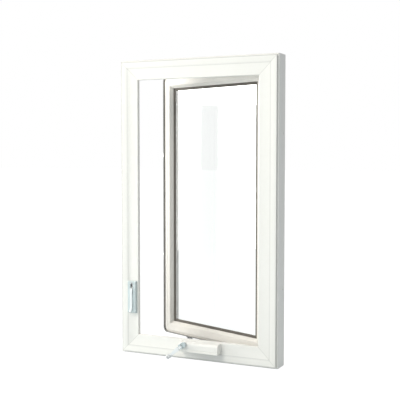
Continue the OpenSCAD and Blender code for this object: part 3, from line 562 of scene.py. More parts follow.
@dataclass(frozen=True)
class Metal:
    """Bare, plated or sintered metal with drawn lines, scuffs and brighter rubbed edges."""

    name: str
    colour: Colour
    tarnish: Colour
    bright: Colour
    run: Run = Run.NONE
    roughness: float = 0.34
    lines_scale: float = 900.0
    depth: float = 0.00003

    def make(self) -> Material:
        """Builds the material."""
        s = Surface(self.name)
        base = s.mottled(self.colour, self.tarnish, scale=45.0, amount=0.9)
        lines = s.lines(self.run, self.lines_scale)
        scuffs = s.effect(ShaderGroups.scuffs(), Scale=420.0, Amount=0.5)
        wear = s.effect(ShaderGroups.edge_wear(), Reach=0.0006, Scale=300.0, Amount=0.8)
        marks = s.kit.sums("MAXIMUM", scuffs, wear)
        rough = s.band(lines, self.roughness - 0.1, self.roughness + 0.14)
        s.set(
            Base_Color=s.kit.blend(marks, base, rgba(self.bright)),
            Roughness=s.kit.sums("MULTIPLY_ADD", marks, -0.12, rough),
            Metallic=1.0,
        )
        s.relief([(lines, self.depth)])
        return s.material


@dataclass(frozen=True)
class PowderCoat:
    """Baked coating with a soft ripple, worn through in places at its edges."""

    name: str
    colour: Colour
    tint: Colour
    worn: Colour
    roughness: float = 0.32
    wear: float = 0.35
    dust_colour: Colour = (0.5, 0.47, 0.42)
    ripple_depth: float = 0.00005

    def make(self) -> Material:
        """Builds the material."""
        s = Surface(self.name)
        base = s.mottled(self.colour, self.tint, scale=22.0, amount=0.8)
        ripple = s.lines(Run.NONE, scale=520.0)
        dust = s.dust(scale=160.0, amount=0.2)
        wear = s.effect(ShaderGroups.edge_wear(), Reach=0.0007, Scale=260.0, Amount=self.wear)
        coat = s.kit.blend(dust, base, rgba(self.dust_colour))
        s.set(
            Base_Color=s.kit.blend(wear, coat, rgba(self.worn)),
            Roughness=s.band(ripple, self.roughness - 0.07, self.roughness + 0.09),
            Metallic=s.kit.times(wear, 0.7),
            Coat_Weight=0.25,
            Coat_Roughness=0.2,
        )
        s.relief([(ripple, self.ripple_depth)])
        return s.material


@dataclass(frozen=True)
class FloatGlass:
    """Clear glass with a faint green body and a few dry water marks."""

    name: str
    colour: Colour
    mark_colour: Colour = (0.93, 0.95, 0.93)

    def make(self) -> Material:
        """Builds the material."""
        s = Surface(self.name)
        film = s.kit.span(s.lines(Run.NONE, scale=34.0), 0.6, 0.8)
        s.set(
            Base_Color=s.kit.blend(s.kit.times(film, 0.08), rgba(self.colour), rgba(self.mark_colour)),
            Roughness=s.kit.times(film, 0.02),
            IOR=1.25,
            Transmission_Weight=1.0,
        )
        return s.material


class Finishes:
    """Every finish of the window, made once and asked for by name."""

    def __init__(self, wall_seam: Seam, sash_seam: Seam) -> None:
        """Makes all of the materials.

        Args:
            wall_seam: the wall frame's mitres.
            sash_seam: the sash's mitres.
        """
        white = (0.880, 0.870, 0.834)
        white_tint = (0.850, 0.840, 0.795)
        # Painted shade: the sash's vinyl is the frame's white made darker and warmer, standing in for the
        # warm shade over the sash.
        sash_shade_white = (0.835, 0.805, 0.755)
        sash_shade_tint = (0.790, 0.755, 0.700)
        zinc = ((0.60, 0.61, 0.63), (0.44, 0.45, 0.46), (0.82, 0.83, 0.84))
        cast = ((0.46, 0.47, 0.48), (0.36, 0.36, 0.37), (0.66, 0.67, 0.68))
        bronze = ((0.62, 0.42, 0.20), (0.38, 0.25, 0.13), (0.85, 0.66, 0.38))
        finishes = [
            Vinyl("frame_vinyl_level", white, white_tint, Run.ALONG_X, seam=wall_seam),
            Vinyl("frame_vinyl_upright", white, white_tint, Run.ALONG_Z, seam=wall_seam),
            # The sash's vinyl carries that painted warm shade.
            Vinyl("sash_vinyl_shaded_level", sash_shade_white, sash_shade_tint, Run.ALONG_X, seam=sash_seam),
            Vinyl("sash_vinyl_shaded_upright", sash_shade_white, sash_shade_tint, Run.ALONG_Z, seam=sash_seam),
            Vinyl("cover_vinyl", white, white_tint, Run.ALONG_X),
            Rubber("seal_black", (0.028, 0.026, 0.024), (0.055, 0.052, 0.048)),
            Rubber("seal_grey", (0.29, 0.285, 0.275), (0.36, 0.355, 0.34)),
            Rubber("gasket_brown", (0.120, 0.108, 0.092), (0.175, 0.160, 0.138)),
            FloatGlass("clear_glass", (0.985, 0.995, 0.99)),
            Metal("spacer_bar", (0.66, 0.66, 0.65), (0.52, 0.51, 0.50), (0.80, 0.80, 0.80), Run.ALONG_Z),
            Metal("plated_steel", *zinc, Run.ALONG_Z),
            Metal("plated_screw", *zinc, Run.NONE, 0.3),
            Metal("cast_zinc", *cast, Run.NONE, 0.5, 700.0, 0.00008),
            Metal("sintered_bronze", *bronze, Run.NONE, 0.42, 1500.0),
            PowderCoat("white_coat", (0.83, 0.86, 0.87), (0.78, 0.82, 0.835), (0.58, 0.59, 0.60)),
            # Painted shade: a darker, bluish copy of the white coat, standing in for the shade on the crank
            # hub and lock escutcheon.
            PowderCoat("shaded_grey_coat", (0.60, 0.68, 0.69), (0.52, 0.60, 0.615), (0.42, 0.45, 0.46)),
            Vinyl("knob_white", (0.84, 0.85, 0.85), (0.79, 0.81, 0.82), Run.NONE, 0.24, 0.12, 0.00001),
            Vinyl("nylon_white", (0.76, 0.75, 0.71), (0.68, 0.67, 0.62), Run.NONE, 0.45, 0.2),
            # Painted shade: near-black discs standing in for the dark inside of the spacer's drying holes.
            Rubber("pit_shade_black", (0.012, 0.012, 0.012), (0.03, 0.03, 0.03)),
        ]
        self._made = {f.name: f.make() for f in finishes}

    def get(self, name: str) -> Material:
        """The finish of that name."""
        return self._made[name]


def merged(node: str) -> bmesh.types.BMesh:
    """A CAD node's mesh with its loose triangles joined.

    Args:
        node: the CAD node's name.

    Returns:
        A new bmesh, which the caller frees.
    """
    bm = bmesh.new()
    bm.from_mesh(frame["nodes"][node].data)
    bmesh.ops.remove_doubles(bm, verts=bm.verts, dist=MERGE)
    return bm


def islands(bm: bmesh.types.BMesh) -> list[list[Vector]]:
    """The corners of each separate solid in a mesh.

    Args:
        bm: the mesh to split.

    Returns:
        One list of corner places for each solid.
    """
    seen: set[bmesh.types.BMVert] = set()
    found: list[list[Vector]] = []
    for first in bm.verts:
        if first in seen:
            continue
        seen.add(first)
        stack = [first]
        places: list[Vector] = []
        while stack:
            vert = stack.pop()
            places.append(vert.co.copy())
            for edge in vert.link_edges:
                other = edge.other_vert(vert)
                if other not in seen:
                    seen.add(other)
                    stack.append(other)
        found.append(places)
    return found


def corners(places: Iterable[Vector]) -> tuple[Vector, Vector]:
    """The lowest and the highest corner of some places."""
    points = list(places)
    low = Vector(tuple(min(p[i] for p in points) for i in range(3)))
    high = Vector(tuple(max(p[i] for p in points) for i in range(3)))
    return low, high


def placed(name: str, data: bpy.types.ID) -> Object:
    """A new object in the scene."""
    obj = bpy.data.objects.new(name, data)
    bpy.context.scene.collection.objects.link(obj)
    return obj


def piece(name: str, mesh: Mesh, body: Body, slot: Slot, finish: Material | None) -> Object:
    """Puts a finished mesh into the scene on its body.

    Args:
        name: the piece's name.
        mesh: its mesh, with its place in it.
        body: the body it rides on.
        slot: not used.
        finish: its material, or None where the mesh has its own.

    Returns:
        The new object.
    """
    mesh.name = name
    if finish is not None:
        mesh.materials.clear()
        mesh.materials.append(finish)
    obj = placed(name, mesh)
    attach(obj, body.value)
    LOG.info("piece %s on %s, %d faces", name, body.value, len(mesh.polygons))
    return obj


def evaluated(obj: Object) -> Mesh:
    """Turns an object with modifiers into a plain mesh and removes the object.

    Args:
        obj: an object in the scene.

    Returns:
        The mesh that its modifiers give.
    """
    graph = bpy.context.evaluated_depsgraph_get()
    mesh = bpy.data.meshes.new_from_object(obj.evaluated_get(graph), depsgraph=graph)
    old = obj.data
    bpy.data.objects.remove(obj)
    if not old.users:
        bpy.data.meshes.remove(old)
    return mesh


def smooth(mesh: Mesh, angle: float) -> None:
    """Shades a mesh smooth, with sharp edges above an angle in degrees."""
    mesh.polygons.foreach_set("use_smooth", [True] * len(mesh.polygons))
    mesh.set_sharp_from_angle(angle=math.radians(angle))


def ring_mesh(name: str, half: tuple[float, float], section: Sequence[tuple[float, float]]) -> Mesh:
    """Runs a closed section round a mitred rectangle in the XZ plane, about the origin.

    Args:
        name: the mesh's name.
        half: half of the rectangle's width and height.
        section: corners of the section, each how far it lies in and its place along Y.

    Returns:
        The closed ring with its faces outward.
    """
    bm = bmesh.new()
    stations: list[list[bmesh.types.BMVert]] = []
    for sx, sz in ((1, 1), (-1, 1), (-1, -1), (1, -1)):
        row = [(sx * (half[0] - inset), along, sz * (half[1] - inset)) for inset, along in section]
        stations.append([bm.verts.new(place) for place in row])
    for i, row in enumerate(stations):
        after = stations[(i + 1) % len(stations)]
        for k in range(len(section)):
            j = (k + 1) % len(section)
            bm.faces.new((row[k], row[j], after[j], after[k]))
    mesh = bpy.data.meshes.new(name)
    face_out(bm, mesh)
    return mesh


def face_out(bm: bmesh.types.BMesh, mesh: Mesh) -> None:
    """Turns every face outward, writes the result into a mesh and frees it.

    Args:
        bm: closed surfaces.
        mesh: the mesh to write.
    """
    bmesh.ops.recalc_face_normals(bm, faces=bm.faces)
    bm.to_mesh(mesh)
    bm.free()


@dataclass
class Eased:
    """A CAD node remade with its sharp edges eased, as tools and moulds leave them."""

    node: str
    body: Body
    slot: Slot
    finish: str
    ease: float = 0.0006
    segments: int = 3
    groove: Callable[[], Mesh] | None = None

    def build(self, finishes: Finishes) -> None:
        """Builds the eased piece in the node's place, with any groove cut first.

        Args:
            finishes: the window's finishes.
        """
        bm = merged(self.node)
        bmesh.ops.dissolve_limit(bm, angle_limit=math.radians(FLAT_DEG), verts=bm.verts, edges=bm.edges)
        mesh = bpy.data.meshes.new(self.node)
        bm.to_mesh(mesh)
        bm.free()
        mesh.polygons.foreach_set("use_smooth", [True] * len(mesh.polygons))
        obj = placed(self.node + "_draft", mesh)
        cutter = placed(self.node + "_cutter", self.groove()) if self.groove else None
        if cutter:
            cut = obj.modifiers.new("groove", "BOOLEAN")
            cut.operation, cut.solver, cut.object = "DIFFERENCE", "EXACT", cutter
        bevel = obj.modifiers.new("eased_edges", "BEVEL")
        bevel.width, bevel.segments = self.ease, self.segments
        bevel.limit_method, bevel.angle_limit = "ANGLE", math.radians(SHARP_DEG)
        bevel.use_clamp_overlap = True
        obj.modifiers.new("flat_faces", "WEIGHTED_NORMAL").keep_sharp = True
        made = evaluated(obj)
        if cutter:
            bpy.data.objects.remove(cutter)
        new = piece(self.node + "_eased", made, self.body, self.slot, finishes.get(self.finish))
        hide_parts(self.node)


def dress(node: str, material: Material) -> None:
    """Gives a CAD node that stays a finish.

    Args:
        node: the CAD node's name.
        material: its new material.
    """
    data = frame["nodes"][node].data
    data.materials.clear()
    data.materials.append(material)
    data.polygons.foreach_set("material_index", [0] * len(data.polygons))
    LOG.info("dressed %s with %s", node, material.name)


class SashPlace:
    """Where the open sash stands: the turn from its closed place about the hinge line."""

    middle_reach = 0.05
    end_share = 0.9

    def __init__(self) -> None:
        """Reads the hinge from the part's own record."""
        hinge = next(j for j in frame["joints"] if j["name"] == "sash_swing")
        pivot = Vector(hinge["pos_m"])
        turn = math.radians(-hinge["range_deg"][0])
        spin = Matrix.Rotation(turn, 4, Vector(hinge["axis"]))
        self.to_open = Matrix.Translation(pivot) @ spin @ Matrix.Translation(-pivot)
        self.to_closed = self.to_open.inverted()

    def seam(self) -> Seam:
        """Where the sash's mitres lie, with the turn that shuts it."""
        low, high = self.closed_box("sash_hinge_stile")
        other, _ = self.closed_box("sash_lock_stile")
        middle = ((other.x + high.x) / 2, 0.0, (low.z + high.z) / 2)
        half = ((high.x - other.x) / 2, 0.0, (high.z - low.z) / 2)
        turn = self.to_closed.to_euler().z
        return Seam(middle, half, tuple(self.to_closed.translation), turn)

    def inner_edge(self, node: str) -> tuple[float, float]:
        """Half the width and height of the opening in a ring-shaped sash node."""
        low, high = self.closed_box(node)
        middle = (low + high) / 2
        points = [self.to_closed @ v.co - middle for v in frame["nodes"][node].data.vertices]
        low_end = self.end_share * (high.z - middle.z)
        wide = min(abs(p.x) for p in points if abs(p.z) < low_end or abs(p.x) > self.middle_reach)
        tall = min(abs(p.z) for p in points if abs(p.z) > self.middle_reach)
        return wide, tall

    def closed_box(self, node: str) -> tuple[Vector, Vector]:
        """A sash node's lowest and highest corners with the sash shut."""
        return corners(self.to_closed @ v.co for v in frame["nodes"][node].data.vertices)

    def stand(self, mesh: Mesh, node: str, turn: Matrix) -> None:
        """Moves a mesh made about the origin to a node's place in the open sash.

        Args:
            mesh: the mesh to move.
            node: the CAD node whose middle it takes.
            turn: how it is turned first.
        """
        low, high = self.closed_box(node)
        mesh.transform(self.to_open @ Matrix.Translation((low + high) / 2) @ turn)


class GeometryTree:
    """A Geometry Nodes tree under way, with its named inputs."""

    def __init__(self, name: str, inputs: dict[str, object]) -> None:
        """Starts a tree that takes geometry, its own inputs and a finish.

        Args:
            name: the tree's name.
            inputs: by name, a default value, or the socket type's last word where it has none.
        """
        self.tree = bpy.data.node_groups.new(name, "GeometryNodeTree")
        self.kit = NodeKit(self.tree)
        self.kit.declare("INPUT", {"Geometry": "Geometry", **inputs, "Finish": "Material"})
        self.kit.declare("OUTPUT", {"Geometry": "Geometry"})
        self.given = self.kit.add("NodeGroupInput").outputs

    def rectangle(self, wide: Socket, tall: Socket) -> Socket:
        """A rectangle's outline."""
        return self.kit.add(
            "GeometryNodeCurvePrimitiveQuadrilateral", {"Width": wide, "Height": tall}
        ).outputs[0]

    def rounded(self, curve: Socket, radius: Socket, steps: int) -> Socket:
        """An outline with its corners rounded."""
        feeds = {"Curve": curve, "Radius": radius, "Count": steps}
        return self.kit.add("GeometryNodeFilletCurve", feeds, mode="POLY").outputs[0]

    def moved(self, geometry: Socket, height: Socket, turn: float = 0.0) -> Socket:
        """Geometry turned about Z and lifted."""
        feeds = {"Geometry": geometry, "Translation": self.kit.lift(height), "Rotation": (0.0, 0.0, turn)}
        return self.kit.add("GeometryNodeTransform", feeds).outputs[0]

    def finish(self, geometry: Socket) -> None:
        """Ends the tree in Realize Instances and Set Material.

        Args:
            geometry: what the tree has made.
        """
        real = self.kit.add("GeometryNodeRealizeInstances", {0: geometry}).outputs[0]
        feeds = {"Geometry": real, "Material": self.given["Finish"]}
        dressed = self.kit.add("GeometryNodeSetMaterial", feeds).outputs[0]
        self.kit.add("NodeGroupOutput", {"Geometry": dressed})

    def run(self, mesh: Mesh, values: dict[str, object]) -> Mesh:
        """Runs the tree on a mesh and gives the plain mesh it makes.

        Args:
            mesh: the mesh that the modifier starts from.
            values: the tree's inputs by name.

        Returns:
            The finished mesh.
        """
        obj = placed(self.tree.name + "_draft", mesh)
        modifier = obj.modifiers.new(self.tree.name, "NODES")
        modifier.node_group = self.tree
        for item in self.tree.interface.items_tree:
            if item.item_type == "SOCKET" and item.in_out == "INPUT" and item.name in values:
                modifier[item.identifier] = values[item.name]
        made = evaluated(obj)
        bm = bmesh.new()
        bm.from_mesh(made)
        face_out(bm, made)
        return made


class ScrewMaker:
    """Cross-recess screws with real threads, set out by Geometry Nodes.

    Its proportions are shares of the head's radius or height, the shank's radius or the length.
    """

    finish = "plated_screw"
    head_top = 0.72
    slot_length, slot_width, slot_depth, slot_lift = 1.1, 0.22, 1.3, 1.05
    core_radius, thread_radius, tooth_radius = 0.74, 0.76, 0.22
    thread_length, thread_start = 0.86, -0.96
    shank_end, head_rim = 0.2, 0.97
    least_head = 0.0008

    def __init__(self, finishes: Finishes) -> None:
        """Builds the tree once.

        Args:
            finishes: the window's finishes.
        """
        self.finishes = finishes
        inputs = {
            "Head radius": 0.004,
            "Head height": 0.0022,
            "Shank radius": 0.0018,
            "Length": 0.016,
            "Thread pitch": 0.0014,
            "Turn": "Rotation",
        }
        self.tree = GeometryTree("cross_recess_screws", inputs)
        self._fill()

    def _fill(self) -> None:
        """Makes one screw, head up, and sets it on every point of the mesh."""
        t, k, given = self.tree, self.tree.kit, self.tree.given
        head_r, head_h, shank_r = given["Head radius"], given["Head height"], given["Shank radius"]
        length = given["Length"]
        cone = {"Vertices": 28, "Radius Top": k.times(head_r, self.head_top), "Radius Bottom": head_r}
        head = k.add("GeometryNodeMeshCone", {**cone, "Depth": head_h}).outputs["Mesh"]
        cut = k.add("GeometryNodeMeshBoolean", {"Mesh 1": head}, operation="DIFFERENCE")
        for turn in (0.0, math.pi / 2):
            sides = (k.times(head_r, self.slot_length), k.times(head_r, self.slot_width))
            size = {**dict(enumerate(sides)), 2: k.times(head_h, self.slot_depth)}
            bar = {"Size": k.add("ShaderNodeCombineXYZ", size).outputs[0]}
            slot = k.add("GeometryNodeMeshCube", bar).outputs["Mesh"]
            k.feed(cut.inputs["Mesh 2"], t.moved(slot, k.times(head_h, self.slot_lift), turn))
        rod = {"Vertices": 16, "Radius": k.times(shank_r, self.core_radius), "Depth": length}
        core = t.moved(k.add("GeometryNodeMeshCylinder", rod).outputs["Mesh"], k.times(length, -0.5))
        thread_r, climb = k.times(shank_r, self.thread_radius), k.times(length, self.thread_length)
        spiral = {"Resolution": 12, "Rotations": k.sums("DIVIDE", climb, given["Thread pitch"])}
        ends = {"Start Radius": thread_r, "End Radius": thread_r, "Height": climb}
        coil = k.add("GeometryNodeCurveSpiral", spiral | ends).outputs[0]
        tooth = {"Resolution": 3, "Radius": k.times(shank_r, self.tooth_radius)}
        profile = k.add("GeometryNodeCurvePrimitiveCircle", tooth).outputs[0]
        sweep = {"Curve": coil, "Profile Curve": profile, "Fill Caps": True}
        thread = k.add("GeometryNodeCurveToMesh", sweep).outputs[0]
        screw = k.add("GeometryNodeJoinGeometry")
        for part in (cut.outputs[0], core, t.moved(thread, k.times(length, self.thread_start))):
            k.feed(screw.inputs[0], part)
        points = k.add("GeometryNodeMeshToPoints", {"Mesh": given["Geometry"]}).outputs[0]
        setting = {"Points": points, "Instance": screw.outputs[0], "Rotation": given["Turn"]}
        t.finish(k.add("GeometryNodeInstanceOnPoints", setting).outputs[0])

    def _set_out(self, node: str, solids: list[list[Vector]], out: Vector) -> Mesh:
        """Makes the screws of one node whose heads face one way.

        Args:
            node: the CAD node with the screws.
            solids: the corners of each plain screw.
            out: the way that their heads face.

        Returns:
            The mesh of all of them.
        """
        turn = Vector((0.0, 0.0, 1.0)).rotation_difference(out)
        heads: list[Vector] = []
        sizes: dict[str, object] = {}
        for places in solids:
            local = [turn.inverted() @ p for p in places]
            low, high = corners(local)
            centre = (low + high) / 2
            head_r = (high.x - low.x) / 2
            end = low.z + self.shank_end * (high.z - low.z)
            s_low, s_high = corners(p for p in local if p.z < end)
            rim = [p.z for p in local if (p.xy - centre.xy).length > self.head_rim * head_r]
            underside = min(rim) if rim else high.z
            sizes = {
                "Head radius": head_r,
                "Head height": max(high.z - underside, self.least_head),
                "Shank radius": (s_high.x - s_low.x) / 2,
                "Length": underside - low.z,
            }
            heads.append(turn @ Vector((centre.x, centre.y, underside)))
        mesh = bpy.data.meshes.new(node)
        mesh.from_pydata([tuple(p) for p in heads], [], [])
        dressing = {"Turn": tuple(turn.to_euler()), "Finish": self.finishes.get(self.finish)}
        return self.tree.run(mesh, sizes | dressing)

    def build(self, node: str, body: Body, out: Vector, out_above: Vector | None = None) -> None:
        """Replaces a CAD node's plain screws with threaded ones.

        Args:
            node: the CAD node with the screws.
            body: the body that they ride on.
            out: the way that their heads face.
            out_above: the way they face in the window's upper half, where that differs.
        """
        bm = merged(node)
        solids = islands(bm)
        bm.free()
        half_way = (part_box("sill")[0].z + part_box("head")[1].z) / 2
        joined = bmesh.new()
        for above, way in ((False, out), (True, out_above or out)):
            chosen = [places for places in solids if (places[0].z > half_way) == above]
            if chosen:
                joined.from_mesh(self._set_out(node, chosen, way))
        made = bpy.data.meshes.new(node)
        joined.to_mesh(made)
        joined.free()
        smooth(made, 30.0)
        new = piece(node + "_threaded", made, body, Slot.STEEL, self.finishes.get(self.finish))
        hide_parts(node)


@dataclass
class Group:
    """The nodes of one subassembly, in rows of some that are eased alike and some only dressed."""

    finishes: Finishes
    EASED: ClassVar[tuple[tuple, ...]] = ()
    DRESSED: ClassVar[dict[str, str]] = {}

    def ease(self, nodes: str, *how: object) -> None:
        """Builds nodes with eased edges, from their names in one string and what Eased takes."""
        for node in nodes.split():
            Eased(node, *how).build(self.finishes)

    def build(self) -> None:
        """Builds the eased pieces and dresses the nodes that stay."""
        for row in self.EASED:
            self.ease(*row)
        for finish, nodes in self.DRESSED.items():
            for node in nodes.split():
                dress(node, self.finishes.get(finish))


class WallFrame(Group):
    """The fixed frame: four mitred bars, its seal and the weep covers."""

    EASED = (
        ("sill head", Body.FRAME, Slot.FRAME_VINYL, "frame_vinyl_level", 0.0011),
        ("hinge_jamb lock_jamb", Body.FRAME, Slot.FRAME_VINYL, "frame_vinyl_upright", 0.0011),
        ("frame_seal", Body.FRAME, Slot.WEATHERSTRIP, "seal_black", 0.0006),
        ("weep_covers", Body.FRAME, Slot.FRAME_VINYL, "frame_vinyl_level", 0.0004),
    )


@dataclass
class Sash(Group):
    """The moving sash: rails, stiles, beads and its seal."""

    place: SashPlace
    corner: float = 0.0197
    seal_w: float = 0.004
    rounding: float = 0.42
    # The sash bars take the frame's white painted in warm shade.
    EASED = (
        (
            "sash_bottom_rail sash_top_rail bead_bottom bead_top",
            Body.SASH, Slot.SASH_VINYL, "sash_vinyl_shaded_level", 0.0012,
        ),
        (
            "sash_hinge_stile sash_lock_stile bead_hinge_side bead_lock_side",
            Body.SASH, Slot.SASH_VINYL, "sash_vinyl_shaded_upright", 0.0012,
        ),
    )

    def build(self) -> None:
        """Builds the bars, beads and seal."""
        super().build()
        self._bulb_seal()

    def _bulb_seal(self) -> None:
        """Sweeps the bulb seal round the flange with Geometry Nodes."""
        tree = GeometryTree(
            "bulb_seal",
            {"Width": 0.5, "Height": 0.9, "Corner radius": 0.018, "Seal width": 0.004, "Seal depth": 0.004},
        )
        kit, given = tree.kit, tree.given
        wide, deep = given["Seal width"], given["Seal depth"]
        path = tree.rounded(tree.rectangle(given["Width"], given["Height"]), given["Corner radius"], 12)
        path = kit.add("GeometryNodeSetCurveNormal", {"Curve": path}, mode="Z_UP").outputs[0]
        radius = kit.times(kit.sums("MINIMUM", wide, deep), self.rounding)
        sweep = {"Curve": path, "Profile Curve": tree.rounded(tree.rectangle(wide, deep), radius, 5)}
        tree.finish(kit.add("GeometryNodeCurveToMesh", sweep).outputs[0])
        low, high = self.place.closed_box("sash_seal")
        made = tree.run(
            bpy.data.meshes.new("bulb_seal"),
            {
                "Width": high.x - low.x - self.seal_w,
                "Height": high.z - low.z - self.seal_w,
                "Corner radius": self.corner - self.seal_w / 2,
                "Seal width": self.seal_w,
                "Seal depth": high.y - low.y,
                "Finish": self.finishes.get("seal_grey"),
            },
        )
        self.place.stand(made, "sash_seal", QUARTER_TURN)
        smooth(made, 50.0)
        seal = piece("sash_seal_bulb", made, Body.SASH, Slot.WEATHERSTRIP, None)
        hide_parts("sash_seal")


@dataclass
class InsulatingGlass(Group):
    """The glazed unit: two panes, the spacer with its drying pits, and what beds it."""

    place: SashPlace
    rib_w: float = 0.0030
    rib_h: float = 0.0011
    rib_slope: float = 0.0004
    rib_gap: float = 0.3
    pit_depth: float = 0.00008
    row_share: float = 0.45
    DRESSED = {"seal_black": "glazing_tape setting_blocks"}

    def build(self) -> None:
        """Builds the panes and the spacer, and dresses the bedding."""
        self.ease("inner_pane outer_pane", Body.SASH, Slot.GLASS, "clear_glass", 0.0003, 2)
        self._ribbed_gasket()
        self.ease("glass_spacer", Body.SASH, Slot.SPACER, "spacer_bar", 0.0004)
        self._drying_pits()
        super().build()

    def _ribbed_gasket(self) -> None:
        """Sweeps the flat gasket with the ribs that press on the inner pane."""
        low, high = self.place.closed_box("glazing_gasket")
        half = ((high.x - low.x) / 2, (high.z - low.z) / 2)
        wide = half[0] - self.place.inner_edge("glazing_gasket")[0]
        back = (high.y - low.y) / 2
        face, crest, slope = -back, -back - self.rib_h, self.rib_slope
        section = [(0.0, back), (wide, back), (wide, face), (wide - 2 * slope, crest)]
        for start in (wide - self.rib_w, wide - (2 + self.rib_gap) * self.rib_w):
            gap = start - self.rib_gap * self.rib_w
            section += [(start + slope / 2, crest), (start - slope, face), (gap, face), (gap - slope, crest)]
        section = section[:-1] + [(0.0, face)]
        mesh = ring_mesh("glazing_gasket_ribs", half, section)
        self.place.stand(mesh, "glazing_gasket", Matrix.Identity(4))
        finish = self.finishes.get("gasket_brown")
        gasket = piece("glazing_gasket_ribs", mesh, Body.SASH, Slot.WEATHERSTRIP, finish)
        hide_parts("glazing_gasket")

    def _drying_pits(self) -> None:
        """Sets two rows of small pits round the inside of the spacer with Geometry Nodes, each a near-black
        disc that paints the shade inside a hole.
        """
        tree = GeometryTree(
            "drying_pits",
            {"Width": 0.4, "Height": 0.8, "Row gap": 0.004, "Pitch": 0.006, "Pit radius": 0.0004},
        )
        kit, given = tree.kit, tree.given
        path = {"Curve": tree.rectangle(given["Width"], given["Height"]), "Length": given["Pitch"]}
        spread = kit.add("GeometryNodeCurveToPoints", path, mode="LENGTH").outputs
        inward = kit.vector("CROSS_PRODUCT", spread["Tangent"], (0.0, 0.0, 1.0))
        face = kit.add("FunctionNodeAlignRotationToVector", {"Vector": inward}, axis="Z").outputs[0]
        disc = {"Vertices": 8, "Radius": given["Pit radius"], "Depth": self.pit_depth}
        pit = kit.add("GeometryNodeMeshCylinder", disc).outputs["Mesh"]
        rows = kit.add("GeometryNodeJoinGeometry")
        for side in (-0.5, 0.5):
            lifted = {"Geometry": spread[0], "Offset": kit.lift(kit.times(given["Row gap"], side))}
            row = kit.add("GeometryNodeSetPosition", lifted).outputs[0]
            setting = {"Points": row, "Instance": pit, "Rotation": face}
            kit.feed(rows.inputs[0], kit.add("GeometryNodeInstanceOnPoints", setting).outputs[0])
        tree.finish(rows.outputs[0])
        low, high = self.place.closed_box("glass_spacer")
        wide, tall = self.place.inner_edge("glass_spacer")
        made = tree.run(
            bpy.data.meshes.new("drying_pits"),
            {
                "Width": 2 * wide,
                "Height": 2 * tall,
                "Row gap": self.row_share * (high.y - low.y),
                "Finish": self.finishes.get("pit_shade_black"),
            },
        )
        self.place.stand(made, "glass_spacer", QUARTER_TURN)
        piece("spacer_drying_pits", made, Body.SASH, Slot.SPACER, None)


class Hinges(Group):
    """Upper and lower pivot hinges."""

    EASED = (
        ("hinge_plate_lower hinge_plate_upper", Body.FRAME, Slot.STEEL, "plated_steel", 0.0003),
        ("sash_plate_lower sash_plate_upper", Body.SASH, Slot.STEEL, "plated_steel", 0.0003),
        ("hinge_washers", Body.FRAME, Slot.NYLON, "nylon_white", 0.0002),
    )


def cover_groove() -> Mesh:
    """The cutter of the shadow groove round the operator cover's foot."""
    up, height, depth = 0.0060, 0.0034, 0.0014
    low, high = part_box("operator_cover")
    half = ((high.x - low.x) / 2 + MM, (high.y - low.y) / 2 + MM)
    section = [(0.0, 0.0), (MM + depth, 0.0), (MM + depth, height), (0.0, height)]
    ring = ring_mesh("cover_groove", half, section)
    middle = Vector(((low.x + high.x) / 2, (low.y + high.y) / 2, low.z + up))
    ring.transform(Matrix.Translation(middle) @ QUARTER_TURN)
    return ring


class Operator(Group):
    """The geared operator: base, lid, cover, worm, wheel, arm, roller and track."""

    EASED = (
        ("operator_base operator_lid", Body.FRAME, Slot.CAST, "cast_zinc", 0.0004),
        ("operator_cover", Body.FRAME, Slot.PAINTED, "cover_vinyl", 0.0009, 3, cover_groove),
        ("spindle_bush", Body.FRAME, Slot.BRONZE, "sintered_bronze", 0.0003),
        ("operator_arm", Body.ARM, Slot.STEEL, "plated_steel", 0.0003),
        ("guide_roller", Body.ROLLER, Slot.NYLON, "nylon_white", 0.0004),
        ("sash_track", Body.SASH, Slot.STEEL, "plated_steel", 0.0003),
        ("arm_pin", Body.FRAME, Slot.STEEL, "plated_steel", 0.0003),
    )
    DRESSED = {"plated_steel": "wheel_pin worm_spindle", "sintered_bronze": "worm_wheel"}


class Crank(Group):
    """The folding crank: hub, set screw, fold pin, arm, knob and cap."""

    EASED = (
        # The hub's coat is the white coat painted in bluish shade.
        ("crank_hub", Body.SPINDLE, Slot.PAINTED, "shaded_grey_coat", 0.0007),
        ("crank_arm", Body.CRANK, Slot.PAINTED, "white_coat", 0.0012, 4),
        ("crank_knob", Body.KNOB, Slot.KNOB, "knob_white", 0.0008),
        ("knob_cap", Body.CRANK, Slot.STEEL, "plated_steel", 0.0003),
    )
    DRESSED = {"plated_screw": "set_screw fold_pin"}


class SashLock(Group):
    """The multi-point lock: escutcheon, case, lever, slide, tie bar, guides and keepers."""

    EASED = (
        # The escutcheon's coat is the white coat painted in bluish shade.
        ("lock_escutcheon", Body.FRAME, Slot.PAINTED, "shaded_grey_coat", 0.0010, 4),
        ("lock_lever", Body.LEVER, Slot.PAINTED, "white_coat", 0.0008, 4),
        ("lock_case", Body.FRAME, Slot.STEEL, "plated_steel", 0.0002),
        ("bar_guides", Body.FRAME, Slot.NYLON, "nylon_white", 0.0004),
        ("keepers", Body.SASH, Slot.STEEL, "plated_steel", 0.0004),
        ("tie_bar", Body.TIE_BAR, Slot.STEEL, "plated_steel", 0.0003),
        ("lock_rollers", Body.TIE_BAR, Slot.STEEL, "plated_screw", 0.0003),
    )
    DRESSED = {"plated_steel": "lock_slide"}


